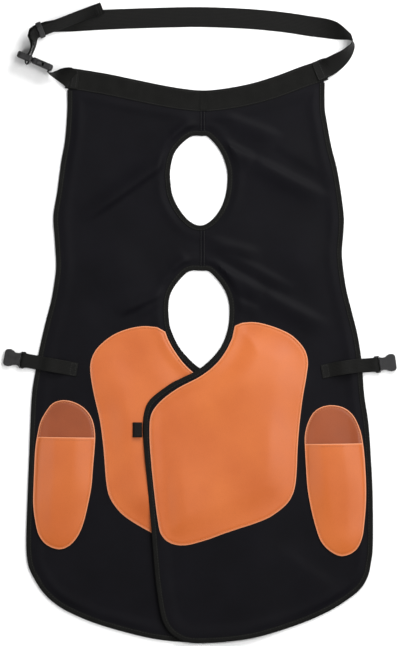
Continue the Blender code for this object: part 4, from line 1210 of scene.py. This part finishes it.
def shared_out(tree, first, second, share):
    """This share of the first value and the rest of the second."""
    part = math_node(tree, "MULTIPLY", first, share)
    rest = math_node(tree, "MULTIPLY", second, 1.0 - share)
    return math_node(tree, "ADD", part, rest)


def multiplied(tree, first, second):
    """One colour times another."""
    return mixed(tree, 1.0, first, second, "MULTIPLY")


def roughened(tree, shader, value, stops):
    """Roughness by value."""
    tree.links.new(ramp_of(tree, value, stops), shader.inputs["Roughness"])


def bumped(tree, shader, layers):
    """Bumps one over another: (height, strength, distance in metres)."""
    normal = None
    for height, strength, distance in layers:
        made = tree.nodes.new("ShaderNodeBump")
        made.inputs["Strength"].default_value = strength
        made.inputs["Distance"].default_value = distance
        tree.links.new(height, made.inputs["Height"])
        if normal is not None:
            tree.links.new(normal, made.inputs["Normal"])
        normal = made.outputs["Normal"]
    tree.links.new(normal, shader.inputs["Normal"])


def cloth_surface():
    """Brushed dark work cloth: fine twill lines under a short nap."""
    made, tree, shader = surface_of("brushed_cloth", (0.005, 0.0047, 0.0065), 0.55, Specular_IOR_Level=0.068)
    where = uv_metres(tree)
    broad = noise(tree, where, 14.0, 4.0)
    nap = noise(tree, where, 850.0, 3.0, 0.7)
    twill = stripes(tree, where, "DIAGONAL", 0.0011, 0.6)
    colour = ramp_of(tree, broad, ((0.30, CLOTH_DARK), (0.72, CLOTH_LIGHT)))
    fuzz = ramp_of(tree, nap, ((0.25, 0.62), (0.80, 1.35)))
    colour = multiplied(tree, colour, fuzz)
    lines = ramp_of(tree, twill, ((0.0, 0.86), (1.0, 1.10)))
    tree.links.new(multiplied(tree, colour, lines), shader.inputs["Base Color"])
    roughened(tree, shader, nap, ((0.2, 0.48), (0.8, 0.62)))
    bumped(tree, shader, ((twill, 0.35, 0.00012), (nap, 0.5, 0.00018), (broad, 0.3, 0.0016)))
    return made


def tape_surface():
    """Ribbed grosgrain tape of the edges and the waistband."""
    made, tree, shader = surface_of("ribbed_tape", (0.007, 0.007, 0.0065), 0.6, Specular_IOR_Level=0.095)
    where = uv_metres(tree)
    ribs = stripes(tree, where, "X", 0.0009, 0.2)
    warp = stripes(tree, where, "Y", 0.0007, 0.2)
    wear = noise(tree, where, 60.0, 4.0)
    weave = math_node(tree, "MULTIPLY", ribs, warp)
    colour = ramp_of(tree, weave, ((0.0, TAPE_DARK), (0.8, TAPE_LIGHT)))
    shade = ramp_of(tree, wear, ((0.3, 0.85), (0.75, 1.25)))
    tree.links.new(multiplied(tree, colour, shade), shader.inputs["Base Color"])
    roughened(tree, shader, weave, ((0.0, 0.9), (1.0, 0.7)))
    bumped(tree, shader, ((ribs, 0.6, 0.00022), (warp, 0.3, 0.00012), (wear, 0.2, 0.0006)))
    return made


def web_surface():
    """Flat woven webbing: ribs across, crossed by warp bundles."""
    made, tree, shader = surface_of("woven_webbing", (0.006, 0.006, 0.0056), 0.62, Specular_IOR_Level=0.085)
    where = uv_metres(tree)
    picks = stripes(tree, where, "X", 0.0017, 0.15)
    bundles = stripes(tree, where, "Y", 0.0022, 0.1)
    fibre = noise(tree, where, 1800.0, 2.0)
    chevron = stripes(tree, where, "DIAGONAL", 0.0034, 0.1)
    weave = math_node(tree, "MULTIPLY", math_node(tree, "ADD", picks, bundles), 0.5)
    colour = ramp_of(tree, weave, ((0.1, WEB_DARK), (0.85, WEB_LIGHT)))
    shade = ramp_of(tree, fibre, ((0.25, 0.75), (0.8, 1.3)))
    tree.links.new(multiplied(tree, colour, shade), shader.inputs["Base Color"])
    roughened(tree, shader, weave, ((0.0, 0.8), (1.0, 0.5)))
    bumped(tree, shader, ((picks, 0.7, 0.00030), (bundles, 0.5, 0.00022), (chevron, 0.25, 0.00018)))
    return made


def leather_surface(name, dark, light):
    """Smooth orange leather: fine grain, mottled dye and a pale rim that is a painted highlight along the
    cut edge.
    """
    made, tree, shader = surface_of(
        name, dark, 0.40, Specular_IOR_Level=0.38, Coat_Weight=0.03, Coat_Roughness=0.25
    )
    where = space_metres(tree)
    cells = tree.nodes.new("ShaderNodeTexVoronoi")
    cells.feature = "SMOOTH_F1"
    cells.inputs["Scale"].default_value = 620.0
    cells.inputs["Smoothness"].default_value = 0.6
    tree.links.new(where, cells.inputs["Vector"])
    grain = cells.outputs["Distance"]
    fine = noise(tree, where, 1500.0, 3.0)
    mottle = noise(tree, where, 26.0, 5.0, 0.6)
    cloud = noise(tree, where, 7.0, 2.0)
    colour = ramp_of(tree, shared_out(tree, mottle, cloud, 0.3), ((0.34, dark), (0.66, light)))
    pores = ramp_of(tree, grain, ((0.0, 0.93), (0.45, 1.03)))
    colour = multiplied(tree, colour, pores)
    # Painted highlight: within about 1 to 2.4 mm of the outline, and on the rounded sides, the leather turns
    # to the pale rim colour
    rim = tree.nodes.new("ShaderNodeAttribute")
    rim.attribute_name = "rim"
    highlight_reach = math_node(tree, "ADD", rim.outputs["Fac"], math_node(tree, "MULTIPLY", mottle, 0.0006))
    edge = ramp_of(tree, math_node(tree, "MULTIPLY", highlight_reach, 100.0), ((0.10, 1.0), (0.24, 0.0)))
    colour = mixed(tree, edge, colour, LEATHER_RIM_HIGHLIGHT)
    tree.links.new(colour, shader.inputs["Base Color"])
    roughened(tree, shader, shared_out(tree, fine, mottle, 0.5), ((0.3, 0.41), (0.7, 0.53)))
    bumped(tree, shader, ((grain, 0.35, 0.00016), (fine, 0.25, 0.00008), (mottle, 0.25, 0.0007)))
    return made


def plastic_surface():
    """Moulded acetal: faint texture and scuffs."""
    made, tree, shader = surface_of(
        "moulded_plastic", (0.009, 0.0087, 0.0093), 0.40, Specular_IOR_Level=0.27
    )
    where = space_metres(tree)
    grain = noise(tree, where, 1600.0, 2.0)
    scuff = noise(tree, where, 180.0, 5.0, 0.65)
    colour = ramp_of(tree, scuff, ((0.35, PLASTIC_DARK), (0.75, PLASTIC_LIGHT)))
    tree.links.new(colour, shader.inputs["Base Color"])
    roughened(tree, shader, scuff, ((0.3, 0.34), (0.75, 0.56)))
    bumped(tree, shader, ((grain, 0.25, 0.00010), (scuff, 0.12, 0.00025)))
    return made


def thread_surface(name, dark, light):
    """Twisted thread."""
    made, tree, shader = surface_of(name, dark, 0.6, Specular_IOR_Level=0.3)
    where = space_metres(tree)
    twist = noise(tree, where, 2600.0, 2.0)
    tree.links.new(ramp_of(tree, twist, ((0.3, dark), (0.7, light))), shader.inputs["Base Color"])
    bumped(tree, shader, ((twist, 0.5, 0.00012),))
    return made


# The pieces
def make_panels(surface):
    """Each leg is one sheet, which stands for its upper and its leg solid."""
    oval_in = shifted(OVAL_LINE, -INSET, True)
    for side, seam_x in (("left", SEAM_X - SEAM_GAP), ("right", SEAM_X + SEAM_GAP)):
        outline = panel_outline(LINES[side], oval_in, seam_x, side == "left")
        low = functools.partial(bottom_of, side=side)
        nodes = (side + "_upper_panel", side + "_leg_panel")
        name = side + "_panel"
        panel = soft_sheet(name, outline, PANEL_NET, low, PANEL_THICK, surface, nodes)


def make_join(tape):
    """The turned strip where the waistband's halves meet."""
    crest = min(BAND_LINE, key=lambda p: abs(p.x - JOIN_X)).y - 0.0008
    rows = [Vector((JOIN_X, crest - k * (BAND_DEPTH - 0.0016) / 8)) for k in range(9)]
    high = top_of(either_bottom, BAND_WALL)(grid_of(rows)) + 0.0006
    middles = [Vector((p.x, p.y, z)) for p, z in zip(rows, high)]
    sideways = [Vector((1.0, 0.0, 0.0))] * len(middles)
    webbing("waistband_join", middles, sideways, JOIN_WIDTH, JOIN_THICK, tape, (), 8, "binding_tape")


def make_edges(tape, thread):
    """Folded tape round each leg and the upper opening, sewn down along its inner edge."""
    left_low = functools.partial(bottom_of, side="left")
    right_low = functools.partial(bottom_of, side="right")
    for side, line, closed, low in (
        ("left", LEFT_LINE, False, left_low),
        ("right", RIGHT_LINE[::-1], False, right_low),
        ("oval", OVAL_LINE[::-1], True, either_bottom),
    ):
        nodes = (side + "_binding",)
        folded_tape(side + "_edge_tape", line, closed, BIND_DEPTH, BIND_WALL, low, tape, nodes, BIND_PUCKER)
        row = (shifted(line, BIND_DEPTH - TAPE_STITCH_IN, closed), closed)
        lift = top_of(low, BIND_WALL)
        stitching(side + "_edge_stitches", [row], thread, EDGE_STITCH, lift)


def make_waistband(tape, thread):
    """The folded band along the top, with its join and two rows of stitches."""
    line = BAND_LINE[::-1]
    low = either_bottom
    size = (BAND_DEPTH, BAND_WALL)
    folded_tape("waistband_tape", line, False, *size, low, tape, ("waistband",), BAND_PUCKER, BAND_ROWS)
    make_join(tape)
    rows = [(shifted(line, depth, False), False) for depth in (BAND_DEPTH - TAPE_STITCH_IN, BAND_STITCH_IN)]
    stitching("waistband_stitches", rows, thread, BAND_STITCH, top_of(low, BAND_WALL))


def raised(low, amount):
    """The height function, this much higher."""
    return lambda p: low(p) + amount


def top_of(low, wall):
    """Height of the stitches in tape of this wall over the cloth."""
    return raised(low, PANEL_THICK + wall - STITCH_SINK)


def make_seams(surface, thread):
    """Felled seams: two folded ridges with a groove between them."""
    for name, heights in (("upper", UPPER_SEAM), ("lower", LOWER_SEAM)):
        top = heights[0] + 0.0010
        foot = heights[-1] - 0.0010
        line = [Vector((SEAM_X, top + (foot - top) * k / 24)) for k in range(25)]
        spots = grid_of(line)
        base = np.maximum(bottom_of(spots, "left"), bottom_of(spots, "right")) + PANEL_THICK
        rows = [[(across, z + height) for across, height in SEAM_SECTION] for z in base]
        swept(name + "_felled_seam", line, False, rows, surface, (name + "_seam",))
        paths = []
        for off in SEAM_STITCH_X:
            paths.append(([(SEAM_X + off, p.y, z + 0.0010) for p, z in zip(line, base)], False))
        stitching(name + "_seam_stitches", paths, thread, SEAM_STITCH)


def dented(low, outline, depth):
    """Height that dips along a stitch line this far inside the outline."""

    def height(p):
        inside = near(p, outline, True)
        rim = 1.0 - eased(inside / 0.0022)
        return low(p) - 0.00045 * np.exp(-(((inside - depth) / 0.0011) ** 2)) - 0.0003 * rim

    return height


def swelling(low, outline):
    """Height of leather that stands in slow swells off the cloth, away from its sewn rim."""

    def height(p):
        free = come_in(near(p, outline, True), PATCH_EASE)
        return low(p) + waves(p, LEATHER_SWELLS) * free

    return height


def leather_sheet(name, outline, shape, leather, node):
    """A leather sheet that stands for its solid, laid on another sheet."""
    made = soft_sheet(name, outline, LEATHER_NET, shape, LEATHER_THICK, leather, (node,), RIM_ROWS)


def make_patches(leather, thread):
    """The two knee patches, sewn round."""
    for side in ("left", "right"):
        outline = even(PATCH_LINES[side], LEATHER_PITCH, True)
        over = raised(functools.partial(bottom_of, side=side), PANEL_THICK + SHEET_GAP)
        shape = dented(swelling(over, outline), outline, PATCH_STITCH_IN)
        name = side + "_knee_leather"
        leather_sheet(name, outline, shape, leather, side + "_knee_patch")
        row = (inset(outline, PATCH_STITCH_IN), True)
        lift = raised(shape, LEATHER_THICK)
        stitching(side + "_knee_stitches", [row], thread, LEATHER_STITCH, lift)


def pocket_parts(outline, mouth):
    """The front's outline below the mouth line, and the mouth's two ends."""
    left_x = min(p.x for p in outline)
    right_x = max(p.x for p in outline)
    left_y = WAIST_Y - mouth[0] * APRON_LENGTH
    right_y = WAIST_Y - mouth[1] * APRON_LENGTH

    def mouth_at(x):
        return left_y + (right_y - left_y) * (x - left_x) / (right_x - left_x)

    below = []
    for i, here in enumerate(outline):
        before = outline[i - 1]
        gap_before = before.y - mouth_at(before.x)
        gap_here = here.y - mouth_at(here.x)
        if gap_before * gap_here < 0:
            below.append(before + (here - before) * (gap_before / (gap_before - gap_here)))
        if gap_here < -0.0008:
            below.append(here)
    lips = [p for p in below if abs(p.y - mouth_at(p.x)) < 0.0004]
    first, last = sorted(lips, key=lambda p: p.x)
    start = below.index(first)
    below = below[start:] + below[:start]
    if below[1] == last:
        below = [below[0]] + below[:0:-1]
    count = 28
    lip = [last + (first - last) * k / count for k in range(1, count)]
    return below + lip, first, last


def opened(points):
    """A closed row of points that now starts after its longest gap."""
    start = max(range(len(points)), key=lambda i: (points[i] - points[i - 1]).length)
    return points[start:] + points[:start]


def make_pocket(side, mouth, leather, shaded_back_leather, thread):
    """A back sewn flat to the cloth and a front that arches off it below the mouth."""
    outline = [Vector(p) for p in even(POCKET_LINES[side], LEATHER_PITCH, True)]
    on_cloth = raised(functools.partial(bottom_of, side=side), PANEL_THICK + SHEET_GAP)
    shape = dented(on_cloth, outline, POCKET_STITCH_IN)
    name = side + "_pocket"
    back_name = name + "_back_leather"
    # The back sheet takes the darker leather: painted shade under the front
    leather_sheet(back_name, outline, shape, shaded_back_leather, name + "_back")
    front_line, first, last = pocket_parts(outline, mouth)
    mouth_y = 0.5 * (first.y + last.y)
    foot_y = min(p.y for p in outline)
    middle_x = 0.5 * (first.x + last.x)

    def front_low(p):
        rim = near(p, outline, True)
        inner = np.sin(0.5 * math.pi * np.clip((rim - 0.4 * POCKET_RIM) / POCKET_ARCH, 0.0, 1.0))
        fall = (mouth_y - p[:, 1]) / (mouth_y - foot_y)
        body = 1.0 - POCKET_FALL * eased(fall)
        ripple = 0.05 * np.sin((p[:, 0] - middle_x) * 95.0 + 6.0 * fall)
        return on_cloth(p) + LEATHER_THICK + SHEET_GAP + POCKET_BULGE * inner * (body + ripple)

    front_shape = dented(front_low, outline, POCKET_STITCH_IN)
    leather_sheet(name + "_front_leather", front_line, front_shape, leather, name + "_front")
    ring = inset(outline, POCKET_STITCH_IN)
    drop = Vector((0.0, -MOUTH_STITCH_IN))
    lip = [first + (last - first) * (0.06 + 0.88 * k / 20) + drop for k in range(21)]
    below = opened([p for p in ring if p.y < mouth_y - 0.0015])
    above = opened([p for p in ring if p.y > mouth_y + 0.0015])
    rows = (("front", below, front_shape), ("back", above, shape), ("mouth", lip, front_shape))
    for part, row, height in rows:
        row_name = name + "_" + part + "_stitches"
        lift = raised(height, LEATHER_THICK)
        stitching(row_name, [(row, False)], thread, LEATHER_STITCH, lift)


def upper_normal(along, across):
    """Unit normal of a strip's upper face."""
    normal = along.cross(across).normalized()
    return -normal if normal.z < 0 else normal


def strip_rows(middles, acrosses, first, last, offset):
    """A stitch row along the belt between two of its points, this share across it, on its upper face."""
    rows = []
    for i in range(first, last):
        normal = upper_normal(middles[i + 1] - middles[i], acrosses[i])
        rows.append(middles[i] + acrosses[i] * (0.5 * WEB_WIDTH * offset) + normal * (0.5 * WEB_THICK))
    return rows


def cross_row(middle, across, up, width, thick, shares=(-0.8, 0.0, 0.8)):
    """Points at these shares across a strip, on the face that up points to."""
    return [middle + across * (0.5 * width * s) + up * (0.5 * thick) for s in shares]


def make_belt(web, thread):
    """The waist belt and the buckle's tab, with the stitches where they are sewn to the waistband."""
    middles, acrosses = leaning_path(BELT, 0.004)
    webbing("waist_belt_webbing", middles, acrosses, WEB_WIDTH, WEB_THICK, web, ("waist_belt",))
    tab_middles, tab_acrosses = leaning_path(TAB, 0.003)
    webbing("buckle_tab_webbing", tab_middles, tab_acrosses, WEB_WIDTH, WEB_THICK, web, ("buckle_tab",))
    paths = [strip_rows(middles, acrosses, 0, 6, offset) for offset in (-0.82, 0.82)]
    paths += [cross_row(middles[i], acrosses[i], UP, WEB_WIDTH, WEB_THICK) for i in (0, 3)]
    paths += [cross_row(tab_middles[i], tab_acrosses[i], UP, WEB_WIDTH, WEB_THICK) for i in (1, 3)]
    stitching("belt_end_stitches", [(path, False) for path in paths], thread, BELT_STITCH)
    make_tip(middles, acrosses, web, thread)


def make_tip(middles, acrosses, web, thread):
    """The folded hem at the belt's free end."""
    count = len(middles)
    ends = range(count - 4, count)
    hem = []
    for i in ends:
        normal = upper_normal(middles[min(i + 1, count - 1)] - middles[i - 1], acrosses[i])
        hem.append(middles[i] + normal * (WEB_THICK * 1.02))
    webbing("belt_tip_hem", hem, [acrosses[i] for i in ends], WEB_WIDTH * 0.985, WEB_THICK, web)
    rows = []
    for k in (1, 2):
        across = acrosses[ends[k]]
        normal = upper_normal(hem[k + 1] - hem[k - 1], across)
        rows.append((cross_row(hem[k], across, normal, WEB_WIDTH, WEB_THICK, (-0.85, 0.0, 0.85)), False))
    stitching("belt_tip_stitches", rows, thread, STRAP_STITCH)


def over_cloth(middles, side):
    """The strap's middle line, lifted where the cloth under it stands higher."""
    out = []
    plan = grid_of(middles)
    high = np.zeros(len(plan))
    for off in (-0.5, 0.0, 0.5):
        spots = plan + np.array((0.0, off * STRAP_WIDTH))
        bound = near(spots, LINES[side]) < BIND_DEPTH + 0.0008
        top = bottom_of(spots, side) + PANEL_THICK + np.where(bound, BIND_WALL, 0.0)
        high = np.maximum(high, np.where(within(spots, LINES[side]), top, 0.0))
    for middle, top in zip(middles, high):
        out.append(Vector((middle.x, middle.y, max(middle.z, top + 0.5 * STRAP_THICK + 0.0003))))
    return out


def make_leg_straps(web, thread):
    """The leg straps, sewn down at their inner ends with a box of stitches."""
    size = (STRAP_WIDTH, STRAP_THICK)
    for side, table in (("left", LEFT_STRAP), ("right", RIGHT_STRAP)):
        rows = [(*at(across, down), height * STRAP_THICK) for across, down, height in table]
        middles = over_cloth([Vector(row) for row in curve_through(rows, False, 0.003)], side)
        run = (Vector((*at(*table[5][:2]), 0.0)) - Vector((*at(*table[0][:2]), 0.0))).normalized()
        across = Vector((-run.y, run.x, 0.0))
        name = side + "_leg_strap"
        acrosses = [across] * len(middles)
        webbing(name + "_webbing", middles, acrosses, *size, web, (name,), 8)
        paths = [cross_row(middles[i], across, UP, *size) for i in (1, 4)]
        for share in (-0.8, 0.8):
            paths.append([cross_row(middles[i], across, UP, *size, (share,))[0] for i in (1, 2, 3, 4)])
        stitching(name + "_stitches", [(path, False) for path in paths], thread, STRAP_STITCH)


def make_keeper(web):
    """The folded loop on the crossing edge."""
    right = KEEPER_ACROSS[0] * HALF_WIDTH
    left = KEEPER_ACROSS[1] * HALF_WIDTH
    y = WAIST_Y - KEEPER_DOWN * APRON_LENGTH
    low = PANEL_THICK + LEATHER_THICK + 2 * CLEAR + 0.0008
    half = 0.5 * KEEPER_HEIGHT
    halfway = 0.5 * (right + left) + 0.001
    path = [Vector((right, y, low)), Vector((halfway, y, low))]
    for k in range(13):
        turn = -0.5 * math.pi - math.pi * k / 12
        path.append(Vector((left + half + half * math.cos(turn), y, low + half + half * math.sin(turn))))
    path += [Vector((halfway, y, low + 2 * half)), Vector((right, y, low + 2 * half))]
    acrosses = [Vector((0.0, 1.0, 0.0))] * len(path)
    webbing("keeper_webbing", path, acrosses, KEEPER_WIDTH, KEEPER_THICK, web, ("keeper_loop",), 8)


def dress_buckles(plastic):
    """The moulded buckles keep their solids, with rounded edges."""
    for name in PLASTIC_NODES:
        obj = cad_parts[name]
        obj.data.materials.clear()
        obj.data.materials.append(plastic)
        bevel = obj.modifiers.new("rounded", "BEVEL")
        bevel.width = 0.0005
        bevel.segments = 2
        bevel.limit_method = "ANGLE"
        bevel.angle_limit = math.radians(35)
        bevel.harden_normals = False


# Floor, lights and camera
def make_stage():
    """A plain pale floor."""
    mesh = bpy.data.meshes.new("floor")
    corners = [(x * FLOOR_HALF, y * FLOOR_HALF, 0.0) for x, y in ((-1, -1), (1, -1), (1, 1), (-1, 1))]
    mesh.from_pydata(corners, [], [(0, 1, 2, 3)])
    floor = bpy.data.objects.new("floor", mesh)
    bpy.context.scene.collection.objects.link(floor)
    made, tree, shader = surface_of("pale_floor", (0.90, 0.90, 0.90), 0.9, Specular_IOR_Level=0.1)
    speck = noise(tree, space_metres(tree), 300.0, 2.0)
    tree.links.new(ramp_of(tree, speck, ((0.3, 0.895), (0.7, 0.905))), shader.inputs["Base Color"])
    mesh.materials.append(made)


def area_light(name, spot, target, size, power):
    light = bpy.data.lights.new(name, "AREA")
    light.shape = "RECTANGLE"
    light.size, light.size_y = size
    light.energy = power
    obj = bpy.data.objects.new(name, light)
    obj.location = spot
    obj.rotation_euler = (Vector(target) - Vector(spot)).to_track_quat("-Z", "Y").to_euler()
    bpy.context.scene.collection.objects.link(obj)


def make_lights():
    """Soft studio lights and an even surround."""
    for row in LIGHTS:
        area_light(*row)
    world = bpy.data.worlds.new("studio")
    world.use_nodes = True
    back = world.node_tree.nodes["Background"]
    back.inputs["Color"].default_value = (1.0, 1.0, 1.0, 1.0)
    back.inputs["Strength"].default_value = WORLD_STRENGTH
    bpy.context.scene.world = world
    bpy.context.scene.view_settings.view_transform = "Standard"
    bpy.context.scene.view_settings.look = "None"


def make_camera():
    """A far camera straight above, whose picture has the photograph's scale at the floor."""
    data = bpy.data.cameras.new("camera")
    data.sensor_width = SENSOR
    data.lens = LENS
    data.clip_start, data.clip_end = 0.05, 30.0
    camera = bpy.data.objects.new("camera", data)
    camera.location = (0.0, -PIXEL, PHOTO_HEIGHT * PIXEL * LENS / SENSOR)
    bpy.context.scene.collection.objects.link(camera)
    bpy.context.scene.camera = camera


def main():
    make_camera()
    make_lights()
    make_stage()
    cloth = cloth_surface()
    tape = tape_surface()
    web = web_surface()
    leather = leather_surface("patch_leather", LEATHER_DARK, LEATHER_LIGHT)
    # Darker copy of the leather for the pocket backs: painted shade
    shaded_back_leather = leather_surface("pocket_back_leather", POCKET_SHADE_DARK, POCKET_SHADE_LIGHT)
    thread = thread_surface("black_thread", THREAD_DARK, THREAD_LIGHT)
    tan_thread = thread_surface("tan_thread", TAN_DARK, TAN_LIGHT)
    make_panels(cloth)
    make_edges(tape, thread)
    make_waistband(tape, thread)
    make_seams(cloth, thread)
    make_patches(leather, tan_thread)
    make_pocket("left", LEFT_MOUTH, leather, shaded_back_leather, tan_thread)
    make_pocket("right", RIGHT_MOUTH, leather, shaded_back_leather, tan_thread)
    make_belt(web, thread)
    make_leg_straps(web, thread)
    make_keeper(web)
    dress_buckles(plastic_surface())


main()
